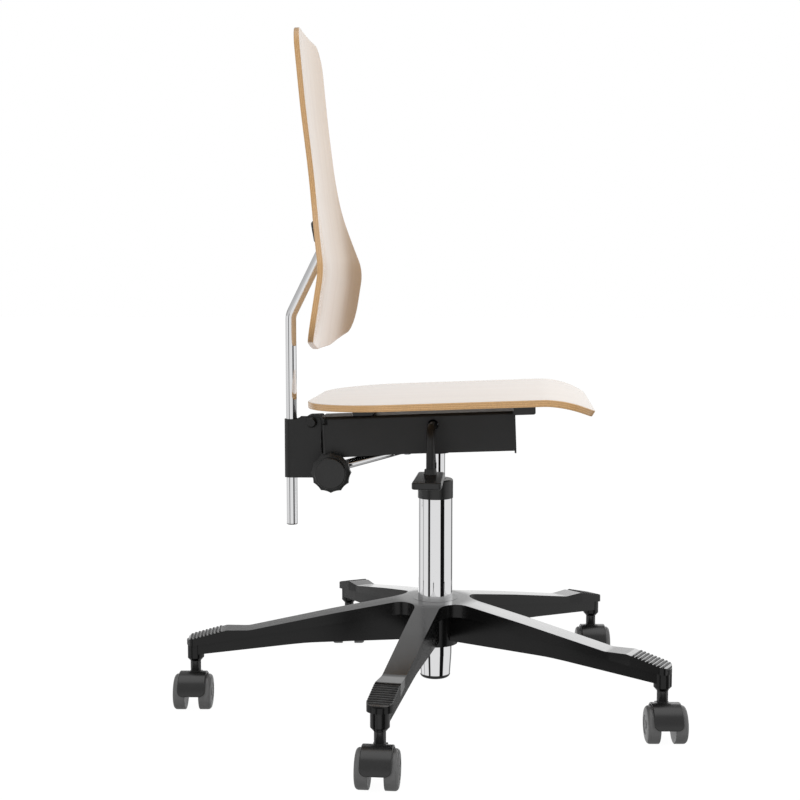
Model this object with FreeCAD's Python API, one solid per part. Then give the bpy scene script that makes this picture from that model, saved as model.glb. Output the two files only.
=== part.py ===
import FreeCAD, Part
import math
import os

V = FreeCAD.Vector
X_AXIS = V(1, 0, 0)
Y_AXIS = V(0, 1, 0)
Z_AXIS = V(0, 0, 1)
ORIGIN = V(0, 0, 0)

# Work chair: bent plywood seat and back, gas column, five-star base on twin-wheel casters
# All sizes in millimetres; origin on the floor under the column, X forward, Z up
# Heights stack upwards: casters, base, column, seat mechanism, seat, back

# Clearances
press = 0.0              # parts driven together share one diameter
running = 0.05           # radial room of a shaft turning in its bore
sliding = 0.1            # radial room of a guided slide
free = 0.3               # room between pieces that pass each other
side_gap = 0.6           # room beside a wheel or under a socket
over = 1.0               # how far a cutting tool runs past the face it cuts

# Casters
wheel_diameter = 50.0
wheel_width = 17.7
wheel_edge = 6.0         # depth of the rounded outer shoulder
hood_width = 39.0
hood_wall = 3.0
hood_gap = 1.2           # between the tread and the hood
hood_skirt = 25.0        # height of the hood's front edge above the floor
hood_heel = 17.0         # height of the web's lower edge
hood_tail = 10.0         # how far the hood reaches behind the stem
boss_drop = 7.0          # hood's crest down to the stem boss's top
web_width = 18.4         # middle web of the hood, between the wheels
heel_rise = 8.0          # the web's lower rear corner, up and along
heel_run = 9.0
heel_round = 5.0
toe_reach = 6.0          # how far the web runs ahead of the axle
toe_round = 4.0
hood_lip = 4.0           # flat front edge of the hood's skirt
hood_corner = 7.0        # rounding of the hood's lower corners, seen from the front
crown_round = 4.0        # rounding of its upper corners
trail = 24.0
neck_diameter = 15.0
neck_collar = 1.0        # ring round the neck's foot
collar_height = 1.2
neck_length = 10.2
stem_diameter = 11.0
stem_depth = 34.0        # height of the base socket above its rim
stem_foot = 24.0         # hood's crest down to the stem's lower end
socket_blind = 6.0       # rest of that length, left solid
stem_short = 8.0         # the same length down to the stem's upper end
stem_bevel = 1.0
grip_groove = 0.8        # ring groove that holds the stem in its socket
grip_length = 2.2
grip_drop = 14.0
axle_diameter = 6.0
tread_bevel = 1.0
tread_round = 3.0
shoulder_fall = 4.5      # tread down to the rounded shoulder's outer rim
shoulder_inset = 1.6
shoulder_round = 4.0
dish_radius = 13.0       # shallow dish in the wheel's outer face
dish_edge = 0.5
dish_depth = 1.2
dish_round = 3.0
boss_radius = 5.5        # raised middle of the dish
wheel_cap = 3.0          # wall that closes the axle's bore
caster_headings = (-85.0, -91.0, -85.0, -86.0, -85.0)  # way each wheel pair trails

# Star base
leg_count = 5
first_leg_angle = 190.4
caster_circle = 348.0
hub_rise = 85.0          # socket rim to hub top
hub_length = 68.0
hub_wall = 8.0
hub_step = 1.0           # hub's own end below the star's top face
leg_root_half = 18.0
leg_neck_half = 15.5
web_root_half = 12.0
web_tip_half = 11.5
crotch_radius = 30.0
neck_back = 26.0         # pad's start back to the leg's narrowest place
neck_round = 60.0
pad_half = 16.8
pad_shoulder = 4.0       # pad's start out to its full width
pad_shoulder_round = 8.0
pad_corner = 9.0
pad_length = 54.0
pad_overhang = 9.5
pad_crest = 45.5         # heights above the socket rim
pad_tip = 32.0
leg_dip = 44.5
leg_mid = 66.5
shoulder_run = 22.0      # hub's rim out to the start of the leg's fall
shoulder_drop = 2.0
shoulder_sweep = 120.0   # sweeps of the leg's upper line
mid_sweep = 400.0
dip_sweep = 40.0
dip_back = 32.0          # pad's start back to the dip
crest_round = 12.0
under_sweep = 500.0
under_root = 25.5
under_mid = 23.5
under_tip = 9.5
flange_root = 18.0       # depth of the leg's top flange
flange_tip = 9.0
flange_back = 40.0
flange_sweep = 200.0
web_bury = 6.0           # web's start inside the hub
web_end_gap = 3.0        # web's end before the stem's axis
leg_wall = 3.5
cross_ribs = 4
rib_thickness = 2.5
rib_lift = 6.0           # ribs stop this far above the webs' lower edges
ridge_count = 9
ridge_height = 1.2
ridge_start = 6.0
ridge_margin = 8.0       # part of the pad's length without ridges
socket_top_radius = 12.2
socket_rim_radius = 8.8
socket_flare = 4.0
socket_cover = 2.0       # pad's tip down to the socket's upper end
socket_slot = 11.0       # recess in the socket's outer side
slot_cover = 7.0
socket_core = 8.2        # radius of the tube seen in the recess

# Gas column
column_diameter = 50.0
column_wall = 2.0
column_taper = 0.6       # loss of radius through the hub
column_rise = 146.0      # hub top to housing rim
column_drop = 51.0       # hub underside to the lower end
column_foot_radius = 21.8
column_knee = 16.0       # hub's underside down to the foot's taper
knee_sweep = 20.0
foot_bevel = 2.0
foot_floor = 4.0         # thickness of the closed lower end
foot_rise = 12.0         # start of the inner taper
rod_room = 1.0           # radial room of the rod in the foot
bush_cap = 27.5
bush_cap_radius = 25.6
bush_depth = 80.0
bush_bevel = 1.5
cylinder_diameter = 28.0
cylinder_wall = 2.0
cylinder_depth = 223.5   # below the bush cap's top, at rest
rod_diameter = 10.0
piston_drop = 79.5       # bush cap's top down to the piston's top
piston_height = 12.0
rod_collar = 3.0         # shoulder that stands on the bearing
clip_groove = 1.0
rod_overrun = 2.0        # rod's end past its clip
rod_bevel = 0.6
bearing_radius = 15.0
bearing_height = 7.0
bearing_groove = 1.2     # depth and half height of the groove between its rings
bearing_split = 0.6
clip_radius = 9.0
clip_height = 2.0
clip_bite = 1.4          # throat is narrower than the rod by this on each side
cylinder_floor = 5.0
end_bevel = 1.0
valve_bore = 14.0        # depth of the valve's bore in the cylinder's top
valve_wall = 4.0
valve_depth = 8.0
valve_diameter = 6.0
valve_lift = 6.5
valve_top_gap = 0.5      # between the valve pin and the lever's arm
valve_nose = 1.0
valve_nose_radius = 1.2

# Seat mechanism
rest_rise = 97.5         # bush cap's top to the channel's top
seat_tilt = 2.3
sheet = 2.5
channel_rear = 163.0
channel_front = 112.0
channel_half = 30.0
channel_height = 56.5
channel_rear_height = 59.5
channel_bend = 5.0
rear_bend = 6.0
side_sweep = 300.0       # bend of the channel's lower edge
rear_opening_half = 14.5
relief_size = 9.0        # square corner reliefs at the rear fold
relief_inner = 16.5
tongue_corner = 6.0
lever_hole_room = 1.8
front_lip = 4.0
front_corner = 4.0
rail_width = 30.0
rail_height = 20.0
rail_wall = 2.0
rail_round = 3.0
rail_inner_round = 1.0
rail_gap = 1.0           # front rail ahead of the channel's end
front_rail_half = 87.0
rear_rail_half = 27.0    # rear rail stays within the channel's width
rear_rail_x = -102.5
plug_flange = 1.5
plug_depth = 5.0
screw_diameter = 6.0
screw_head = 3.0         # head's rim past the shank
head_height = 4.0
head_bevel = 1.6
front_screw_spread = 70.0
rear_screw_spread = 14.0
screw_bite = 6.5
driver_room = 1.0        # round the head, in the hole that lets the driver in
socket_wall = 6.0
socket_bridge = 5.0
socket_bridge_drop = 38.0
bridge_front = 34.0
taper_length = 33.0
taper_loss = 0.8
taper_rim = 1.0          # socket's top below the cylinder's end
cylinder_top_drop = 26.0 # channel top down to the cylinder's end
ear_margin = 6.0         # metal of the hinge ears behind the pivot's bore
ear_below = 13.0
ear_above = 11.0
ear_reach = 58.0         # pivot forward to the ears' end under the roof
ear_rounds = (8.0, 5.0, 3.0, 10.0)
ear_boss = 3.0
hanger_margin = 3.0
hanger_below = 1.5
hanger_step = 2.0        # hanger inside the strut rods

# Seat
seat_thickness = 9.0
seat_half_width = 195.0
seat_rear = 172.0
seat_front = 221.0
seat_rear_radius = 120.0
seat_front_radius = 50.0
lip_start = 150.0
lip_radius = 132.0
lip_run = 75.0           # bend of the uncut board, in degrees
ply_round = 1.2

# Release lever
lever_diameter = 12.0
lever_drop = 16.0        # channel top down to the lever's axis
lever_reach = 80.0       # column axis out to the upright
lever_bend = 19.0
paddle_top_drop = 79.0
paddle_width = 40.0
paddle_length = 108.0
paddle_thickness = 9.5
paddle_inner = 60.0
paddle_x = -2.0
paddle_taper = 1.5       # loss of half width at the inner end
paddle_corner = 5.0
paddle_round = 2.0
collar_rise = 7.0        # moulded collar round the lever's foot
collar_foot = 4.0
collar_lip = 2.2
lever_splay = 4.0        # upright's foot further out than its bend
lever_pivot_inset = 7.0  # inside the channel's wall
lever_inner = 8.0        # rod's end past its pin
arm_half = 5.0           # flat arm over the valve
arm_reach = 7.0
arm_root = 4.0
arm_thickness = 4.5
arm_corner = 4.0
lever_pin_diameter = 4.0
lever_pin_half = 13.0
ear_side_room = 2.5      # between the lever and its ears
ear_low = 6.0
ear_near = 5.0
ear_far = 6.0
ear_corner = 4.0

# Back carrier
tube_diameter = 16.0
tube_wall = 1.8
tube_x = -210.7
tube_bend = 24.0
tube_lean = 26.5
tube_foot_drop = 166.0   # channel top down to the tube's lower end
tube_knee_rise = 138.5   # channel top up to the first bend
liner_wall = 0.6
bracket_sheet = 1.5
bracket_drop = 97.5
bracket_height = 85.5
cheek_rise = 3.0
cheek_reach = 8.0        # cheek's front edge past the pivot's bore
cheek_corner = 5.0
cheek_sweep = 12.0
fold_corner = 2.0
liner_end = 1.0          # liner inside the sleeve's ends
liner_split = 4.0
pivot_x = -179.0
pivot_drop = 16.0
pivot_diameter = 10.0
pivot_head_radius = 7.4
pivot_head_height = 8.0
pivot_head_bevel = 2.0
pivot_nut_width = 16.0
pivot_nut_height = 7.0
bolt_bevel = 1.0
bolt_overrun = 2.0       # bolt's end past its nut
clamp_x = -146.7
clamp_drop = 84.5
clamp_diameter = 8.0
clamp_nut_width = 13.0
clamp_nut_height = 6.5
clamp_overrun = 3.5
lug_radius = 12.0
lug_corner = 9.0
lug_step = 2.0           # rises from the lug to the cheek
lug_rise = 8.0
knob_diameter = 58.0     # over the grip's points
knob_face = 45.0
knob_thickness = 24.0
knob_points = 12
knob_scallop = 2.4       # depth between the grip's points
knob_gap = 3.0           # channel's wall out to the knob
knob_grip_back = 4.0     # the knob's inner end up to the grip
knob_grip_front = 8.0
knob_bevel = 3.0
knob_foot = 11.0         # radius of the boss behind the grip
knob_dome = 60.0
knob_rim = 1.0
knob_rim_round = 2.5
knob_bolt_share = 0.6    # part of the knob's depth that the bolt fills
strut_rod = 6.5
strut_half_gap = 22.0    # middle plane out to each strut rod
strut_slope = 15.8
strut_eye_radius = 8.5
strut_eye_width = 5.5    # flattened, so the rod swells past it
yoke_x = -40.0
yoke_radius = 5.5
yoke_play = 1.0          # radial room of the rods in the yoke
strut_overrun = 9.0

# Back
back_thickness = 7.5
back_curve = 1600.0      # radius of the shell seen from above
sweep_half = 20.0        # half turn of the uncut shell, in degrees
run_on = 20.0            # uncut shell past its lower and upper edges
back_bottom_rise = 94.5  # heights above the channel's top
lumbar_rise = 205.0
knee_rise = 299.0
back_top_rise = 534.0
back_bottom_x = -160.5
lumbar_x = -142.0
knee_x = -158.5
back_top_x = -184.3
lumbar_round = 120.0
knee_round = 500.0
back_top_half = 108.0
back_top_round = 40.0
back_neck_half = 110.0
back_wide_half = 217.0
back_low_half = 206.0
back_low_round = 88.0
wide_drop = 6.0          # widest place below the lumbar's height
wide_round = 34.0
neck_rise = 8.0          # narrowing's end above the bow's height
neck_sweep = 130.0
plug_lip = 1.5           # plug's rim below the tube's end
plug_bevel = 0.8
plug_reach = 12.0
clip_width = 46.0
clip_length = 32.0
clip_wall = 1.5
clip_wing = 7.0          # depth of the clip's side wings
clip_wing_round = 3.0
clip_hump = 4.0          # hump's shoulder beside the tube
clip_round = 6.0
clip_edge_round = 1.0
clip_gap = 0.1           # between the clip and the shell
tube_end_back = 4.0      # tube's end inside the clip
clip_share = 0.6         # place of the clip along the straight above the lumbar
clip_screw_spread = 15.0
clip_screw_diameter = 5.0
clip_screw_bite = 6.0
clip_screw_head = 2.2
clip_head_seat = 4.5     # screw head's seat behind the shell
clip_head_height = 3.1
clip_head_bevel = 1.1
clip_head_room = 0.3

# Values worked out from the sizes above
wheel_radius = wheel_diameter / 2
hood_radius = wheel_radius + hood_gap
hood_top = wheel_diameter + hood_gap + hood_wall
socket_rim = hood_top + neck_length + side_gap
hub_top = socket_rim + hub_rise
hub_bottom = hub_top - hub_length
column_radius = column_diameter / 2
hub_radius = column_radius + hub_wall
leg_tip = caster_circle + pad_overhang
pad_start = leg_tip - pad_length
leg_pitch = 360.0 / leg_count
housing_top = hub_top + column_rise
housing_bottom = hub_bottom - column_drop
cap_top = housing_top + bush_cap
channel_top = cap_top + rest_rise
cylinder_radius = cylinder_diameter / 2
cylinder_top = channel_top - cylinder_top_drop
seat_under = rail_height
tube_radius = tube_diameter / 2
cheek_inner = tube_radius + running + liner_wall
cheek_outer = cheek_inner + bracket_sheet
pivot_z = channel_top - pivot_drop
clamp_z = channel_top - clamp_drop
yoke_z = clamp_z + (yoke_x - clamp_x) * math.tan(math.radians(strut_slope))
strut_inner = strut_half_gap - strut_rod / 2
strut_outer = strut_half_gap + strut_rod / 2
lever_z = channel_top - lever_drop
lever_pivot_y = -(channel_half - sheet - lever_pivot_inset)


# Small helpers

def cylinder(radius, low, high, x=0.0, y=0.0):
    return Part.makeCylinder(radius, high - low, V(x, y, low))


def rod_y(radius, y_low, y_high, x, z):
    return Part.makeCylinder(radius, y_high - y_low, V(x, y_low, z), Y_AXIS)


def rod_x(radius, x_low, x_high, y, z):
    return Part.makeCylinder(radius, x_high - x_low, V(x_low, y, z), X_AXIS)


def block(x_low, x_high, y_low, y_high, z_low, z_high):
    return Part.makeBox(x_high - x_low, y_high - y_low, z_high - z_low, V(x_low, y_low, z_low))


def on_plan(u, v):
    return V(u, v, 0)


def on_side(u, v):
    return V(u, 0, v)


def on_front(u, v):
    return V(0, u, v)


def rounded_edges(points, place, closed=True):
    # Points are (u, v) or (u, v, radius); each radius becomes a tangent arc
    spots = [place(p[0], p[1]) for p in points]
    radii = [p[2] if len(p) > 2 else 0.0 for p in points]
    count = len(spots)
    edges = []
    starts = []
    for i in range(count):
        here = spots[i]
        at_end = not closed and i in (0, count - 1)
        if radii[i] == 0.0 or at_end:
            starts.append((here, here, None))
            continue
        back = (spots[i - 1] - here).normalize()
        ahead = (spots[(i + 1) % count] - here).normalize()
        half = back.getAngle(ahead) / 2
        reach = radii[i] / math.tan(half)
        middle = (back + ahead).normalize()
        top = here + middle * (radii[i] / math.sin(half) - radii[i])
        starts.append((here + back * reach, here + ahead * reach, top))
    for i in range(count):
        first, last, top = starts[i]
        if top is not None:
            edges.append(Part.Arc(first, top, last).toShape())
        if i == count - 1 and not closed:
            break
        target = starts[(i + 1) % count][0]
        if (target - last).Length > 1e-6:
            edges.append(Part.LineSegment(last, target).toShape())
    return edges


def outline(points, place):
    return Part.Face(Part.Wire(rounded_edges(points, place)))


def plate(points, place, depth, start=0.0):
    # Extrudes an outline along the axis that its plane leaves free
    along = {on_plan: Z_AXIS, on_side: Y_AXIS, on_front: X_AXIS}[place]
    face = outline(points, place)
    face.translate(along * start)
    return face.extrude(along * depth)


def lathe(points, axis=Z_AXIS, place=on_side, centre=ORIGIN):
    return outline(points, place).revolve(centre, axis, 360)


def pipe(points, radius, bend):
    shaped = [(u, v, bend) for u, v in points]
    edges = rounded_edges(shaped, on_side, closed=False)
    first = edges[0]
    heading = first.tangentAt(first.FirstParameter)
    ring = Part.Wire(Part.Circle(first.valueAt(first.FirstParameter), heading, radius).toShape())
    return Part.Wire(edges).makePipeShell([ring], True, False)


def tilted(shape):
    # Puts a mechanism piece drawn level at the channel's top into its tilted place
    shape.translate(V(0, 0, channel_top))
    shape.rotate(V(0, 0, channel_top), Y_AXIS, -seat_tilt)
    return shape


def drawn_point(x, z):
    # Place of a world point in the level drawing: x, and drop below the channel's top
    spin = math.radians(seat_tilt)
    rise = z - channel_top
    return (x * math.cos(spin) + rise * math.sin(spin),
            -(-x * math.sin(spin) + rise * math.cos(spin)))


def save(name, shape):
    shape.exportStep(os.path.join("parts", name + ".step"))


def at_leg(shape, index):
    shape.rotate(ORIGIN, Z_AXIS, first_leg_angle + index * leg_pitch)
    return shape


# Star base

def housing_radius(z):
    return column_radius - column_taper * (hub_top - z) / hub_length


def leg_top_profile():
    # From the hub along the leg: shoulder, long fall, dip, ridged foot pad
    dip_at = pad_start - dip_back
    mid_at = (hub_radius + dip_at) / 2
    crest = socket_rim + pad_crest
    tip = socket_rim + pad_tip
    points = [(0.0, hub_top),
              (hub_radius + shoulder_run, hub_top - shoulder_drop, shoulder_sweep),
              (mid_at, socket_rim + leg_mid, mid_sweep),
              (dip_at, socket_rim + leg_dip, dip_sweep),
              (pad_start, crest, crest_round)]
    ridge_pitch = (pad_length - ridge_margin) / ridge_count
    fall = (crest - tip) / pad_length
    for i in range(ridge_count):
        root = pad_start + ridge_start + i * ridge_pitch
        points.append((root, crest - fall * (root - pad_start)))
        peak = root + ridge_pitch / 2
        points.append((peak, crest - fall * (peak - pad_start) + ridge_height))
    points.append((leg_tip, tip))
    return points


def under_profile(lift=0.0):
    mid_at = (hub_radius + caster_circle) / 2
    return [(caster_circle, socket_rim + under_tip + lift),
            (mid_at, socket_rim + under_mid + lift, under_sweep),
            (0.0, socket_rim + under_root + lift)]


def flange_profile():
    return [(leg_tip, socket_rim + pad_tip - flange_tip),
            (pad_start - flange_back, socket_rim + leg_dip - flange_tip, flange_sweep),
            (hub_radius, hub_top - flange_root)]


def star_outline():
    step = math.radians(leg_pitch)
    crotch_at = leg_root_half / math.sin(step / 2)
    neck_at = pad_start - neck_back
    wide_at = pad_start + pad_shoulder
    points = []
    for i in range(leg_count):
        turn = math.radians(first_leg_angle) + i * step
        points.append((crotch_at * math.cos(turn - step / 2),
                       crotch_at * math.sin(turn - step / 2), crotch_radius))
        for along, across, radius in ((neck_at, -leg_neck_half, neck_round),
                                      (wide_at, -pad_half, pad_shoulder_round),
                                      (leg_tip, -pad_half, pad_corner),
                                      (leg_tip, pad_half, pad_corner),
                                      (wide_at, pad_half, pad_shoulder_round),
                                      (neck_at, leg_neck_half, neck_round)):
            points.append((along * math.cos(turn) - across * math.sin(turn),
                           along * math.sin(turn) + across * math.cos(turn), radius))
    return points


def leg_web(index):
    # Upright walls under the flange, open below, tied by cross ribs
    web_start = hub_radius - web_bury
    web_end = caster_circle - web_end_gap
    pocket_start = hub_radius + leg_wall
    pocket_end = caster_circle - socket_top_radius - leg_wall
    root_pocket = web_root_half - leg_wall
    tip_pocket = web_tip_half - leg_wall
    outer = plate([(web_start, -web_root_half), (web_end, -web_tip_half),
                   (web_end, web_tip_half), (web_start, web_root_half)],
                  on_plan, hub_top)
    inner = plate([(pocket_start, -root_pocket), (pocket_end, -tip_pocket),
                   (pocket_end, tip_pocket), (pocket_start, root_pocket)],
                  on_plan, hub_top)
    flange_foot = flange_profile() + [(0.0, hub_top - flange_root)]
    smooth_top = leg_top_profile()[:5] + [(leg_tip, socket_rim + pad_tip)]
    body = lathe(smooth_top + under_profile())
    hollow = lathe(flange_foot + [(0.0, 0.0), (leg_tip, 0.0)])
    rib_body = lathe(flange_foot + under_profile(rib_lift)[::-1])
    web = outer.common(body)
    pocket = inner.common(hollow)
    rib_span = (pocket_end - hub_radius) / (cross_ribs + 1)
    ribs = []
    for i in range(cross_ribs):
        at = hub_radius + (i + 1) * rib_span
        ribs.append(block(at, at + rib_thickness, -web_tip_half, web_tip_half, 0.0, hub_top))
    kept = Part.makeCompound(ribs).common(inner).common(rib_body)
    web = web.cut(pocket).fuse(kept.Solids)
    return at_leg(web, index)


def caster_socket(index):
    # Sleeve round the stem, recessed on its outer side to show the inner tube
    rim = socket_rim
    top = rim + pad_tip - socket_cover
    boss = lathe([(0.0, rim), (socket_rim_radius, rim), (socket_top_radius, rim + socket_flare),
                  (socket_top_radius, top), (0.0, top)])
    recess = block(0.0, 2 * socket_top_radius, -socket_slot / 2, socket_slot / 2,
                   rim - over, top - slot_cover)
    core = cylinder(socket_core, rim, top)
    boss = boss.cut(recess).fuse(core)
    boss.translate(V(caster_circle, 0, 0))
    return at_leg(boss, index)


def star_base():
    flange = plate(star_outline(), on_plan, hub_top + pad_crest)
    section = leg_top_profile() + flange_profile() + [(0.0, hub_top - flange_root)]
    flange = flange.common(lathe(section))
    hub = cylinder(hub_radius, hub_bottom, hub_top - hub_step)
    low = hub_bottom - over
    high = hub_top + over
    pieces = [hub]
    bores = [lathe([(0.0, low), (housing_radius(low), low), (housing_radius(high), high), (0.0, high)])]
    stem_end = socket_rim + stem_depth - socket_blind
    for i in range(leg_count):
        pieces.append(leg_web(i))
        pieces.append(caster_socket(i))
        bore = cylinder(stem_diameter / 2 + press, socket_rim - over, stem_end, caster_circle)
        bores.append(at_leg(bore, i))
    return flange.fuse(pieces).cut(bores).removeSplitter()


# Casters, drawn with the stem at the origin and the wheels trailing along X

def place_caster(shape, index):
    turn = math.radians(first_leg_angle + index * leg_pitch)
    shape.rotate(ORIGIN, Z_AXIS, caster_headings[index])
    shape.translate(V(caster_circle * math.cos(turn), caster_circle * math.sin(turn), 0))
    return shape


def caster_stem():
    low = hood_top - stem_foot
    high = socket_rim + stem_depth - stem_short
    groove = socket_rim + stem_depth - grip_drop
    radius = stem_diameter / 2
    neck = radius - grip_groove
    groove_end = groove + 2 * grip_groove + grip_length
    return lathe([(0.0, low), (radius - stem_bevel, low), (radius, low + stem_bevel),
                  (radius, groove), (neck, groove + grip_groove),
                  (neck, groove_end - grip_groove), (radius, groove_end),
                  (radius, high - stem_bevel), (radius - stem_bevel, high), (0.0, high)])


def caster_hood():
    # Shell round the wheels' upper front, middle web, and a boss for the stem
    outer = hood_radius + hood_wall
    front = trail + outer
    toe = trail + toe_reach
    half = hood_width / 2
    web_half = web_width / 2
    boss_top = hood_top - boss_drop
    heel = [(-hood_tail, hood_heel + heel_rise, heel_round),
            (heel_run - hood_tail, hood_heel, heel_round),
            (toe, hood_heel, toe_round)]
    drum = rod_y(outer, -half, half, trail, wheel_radius)
    upper = plate(heel + [(front - hood_lip, hood_skirt), (front, hood_skirt),
                          (front, hood_top), (-hood_tail, hood_top)],
                  on_side, hood_width, -half)
    face = plate([(-half, hood_heel, hood_corner), (half, hood_heel, hood_corner),
                  (half, hood_top + over, crown_round), (-half, hood_top + over, crown_round)],
                 on_front, front + hood_tail, -hood_tail)
    web = plate(heel + [(toe, boss_top), (-hood_tail, boss_top, hood_wall)],
                on_side, web_width, -web_half)
    hood = drum.common(upper).common(face).fuse(web)
    wells = [rod_y(hood_radius, web_half, half + over, trail, wheel_radius),
             rod_y(hood_radius, -half - over, -web_half, trail, wheel_radius)]
    neck_radius = neck_diameter / 2
    collar = neck_radius + neck_collar
    collar_top = boss_top + collar_height
    root = boss_top - 2 * neck_collar
    neck_top = hood_top + neck_length
    neck = lathe([(0.0, root), (collar, root), (collar, collar_top),
                  (neck_radius, collar_top + neck_collar), (neck_radius, neck_top), (0.0, neck_top)])
    stem_bore = cylinder(stem_diameter / 2 + running, hood_top - stem_foot - free, socket_rim)
    axle_bore = rod_y(axle_diameter / 2 + press, -half, half, trail, wheel_radius)
    return hood.cut(wells).fuse(neck).cut([stem_bore, axle_bore]).removeSplitter()


def caster_wheel(side):
    # Tread, rounded shoulder and a shallow dish with a raised middle
    inner = web_width / 2 + side_gap
    outer = inner + wheel_width
    bore = axle_diameter / 2 + running
    bottom = outer - dish_depth
    cap = outer - wheel_cap
    half = [(bore, inner), (wheel_radius - tread_bevel, inner), (wheel_radius, inner + tread_bevel),
            (wheel_radius, outer - wheel_edge, tread_round),
            (wheel_radius - shoulder_fall, outer - shoulder_inset, shoulder_round),
            (dish_radius, outer, dish_round), (dish_radius - dish_edge, bottom),
            (boss_radius + dish_edge, bottom), (boss_radius, outer), (0.0, outer),
            (0.0, cap), (bore, cap)]
    points = [(r, side * y) + tuple(rest) for r, y, *rest in half]
    wheel = lathe(points, Y_AXIS, on_plan)
    wheel.translate(V(trail, 0, wheel_radius))
    return wheel


def caster_axle():
    half = web_width / 2 + side_gap + wheel_width - wheel_cap - free
    return rod_y(axle_diameter / 2, -half, half, trail, wheel_radius)


def casters():
    stems = []
    for i in range(leg_count):
        number = str(i + 1)
        stems.append(place_caster(caster_stem(), i))
        save("caster_hood_" + number, place_caster(caster_hood(), i))
        save("caster_axle_" + number, place_caster(caster_axle(), i))
        save("wheel_left_" + number, place_caster(caster_wheel(1), i))
        save("wheel_right_" + number, place_caster(caster_wheel(-1), i))
    save("caster_stems", Part.makeCompound(stems))


# Gas column

def column_housing():
    foot = column_foot_radius
    knee = hub_bottom - column_knee
    inner = column_radius - column_wall
    foot_inner = foot - 2 * column_wall
    hole = rod_diameter / 2 + rod_room
    low = housing_bottom
    return lathe([(hole, low), (foot - foot_bevel, low), (foot, low + foot_bevel),
                  (housing_radius(knee), knee, knee_sweep), (housing_radius(hub_bottom), hub_bottom),
                  (column_radius, hub_top), (column_radius, housing_top), (inner, housing_top),
                  (inner, hub_top), (foot_inner, low + foot_rise), (foot_inner, low + foot_floor),
                  (hole, low + foot_floor)])


def column_bush():
    inner = cylinder_radius + sliding
    sleeve = column_radius - column_wall - press
    low = housing_top - bush_depth
    return lathe([(inner, low), (sleeve - bush_bevel, low), (sleeve, low + bush_bevel),
                  (sleeve, housing_top), (bush_cap_radius, housing_top),
                  (bush_cap_radius, cap_top - bush_bevel), (bush_cap_radius - bush_bevel, cap_top),
                  (inner + bush_bevel, cap_top), (inner, cap_top - bush_bevel)])


def bearing_seat():
    return housing_bottom + foot_floor


def thrust_bearing():
    low = bearing_seat()
    high = low + bearing_height
    inner = rod_diameter / 2 + free
    groove = low + bearing_height / 2
    return lathe([(inner, low), (bearing_radius, low), (bearing_radius, groove - bearing_split),
                  (bearing_radius - bearing_groove, groove), (bearing_radius, groove + bearing_split),
                  (bearing_radius, high), (inner, high)])


def piston_rod():
    radius = rod_diameter / 2
    collar = radius + rod_collar
    shoulder = bearing_seat() + bearing_height
    neck = housing_bottom - clip_height - sliding
    neck_radius = radius - clip_groove
    end = housing_bottom - clip_height - rod_overrun
    piston_top = cap_top - piston_drop
    piston_low = piston_top - piston_height
    bore = cylinder_radius - cylinder_wall - sliding
    return lathe([(0.0, end), (radius - rod_bevel, end), (radius, end + rod_bevel), (radius, neck),
                  (neck_radius, neck), (neck_radius, neck + clip_height), (radius, neck + clip_height),
                  (radius, shoulder), (collar, shoulder), (collar, shoulder + rod_collar),
                  (radius, shoulder + rod_collar), (radius, piston_low), (bore, piston_low),
                  (bore, piston_top), (0.0, piston_top)])


def rod_clip():
    low = housing_bottom - clip_height - sliding
    radius = rod_diameter / 2
    throat = radius - clip_bite
    ring = cylinder(clip_radius, low, low + clip_height)
    mouth = block(0.0, clip_radius + over, -throat, throat, low - over, housing_bottom)
    return ring.cut([cylinder(radius - clip_groove, low - over, housing_bottom), mouth])


def gas_cylinder():
    low = cap_top - cylinder_depth
    top = cylinder_top
    taper_low = top - taper_length
    outer = cylinder_radius
    end = outer - taper_loss
    bore = outer - cylinder_wall
    rod = rod_diameter / 2 + running
    valve = valve_diameter / 2 + running
    floor = top - valve_bore
    return lathe([(rod, low), (outer - end_bevel, low), (outer, low + end_bevel),
                  (outer, taper_low), (end, top - end_bevel), (end - end_bevel, top),
                  (valve, top), (valve, floor), (0.0, floor), (0.0, floor - valve_wall),
                  (bore, floor - valve_wall), (bore, low + cylinder_floor), (rod, low + cylinder_floor)])


def valve_pin():
    low = cylinder_top - valve_depth
    high = cylinder_top + valve_lift - valve_top_gap
    radius = valve_diameter / 2
    return lathe([(0.0, low), (radius, low), (radius, high - valve_nose, valve_nose / 2),
                  (valve_nose_radius, high), (0.0, high)])


# Seat mechanism, drawn level with the channel's top at zero height

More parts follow.
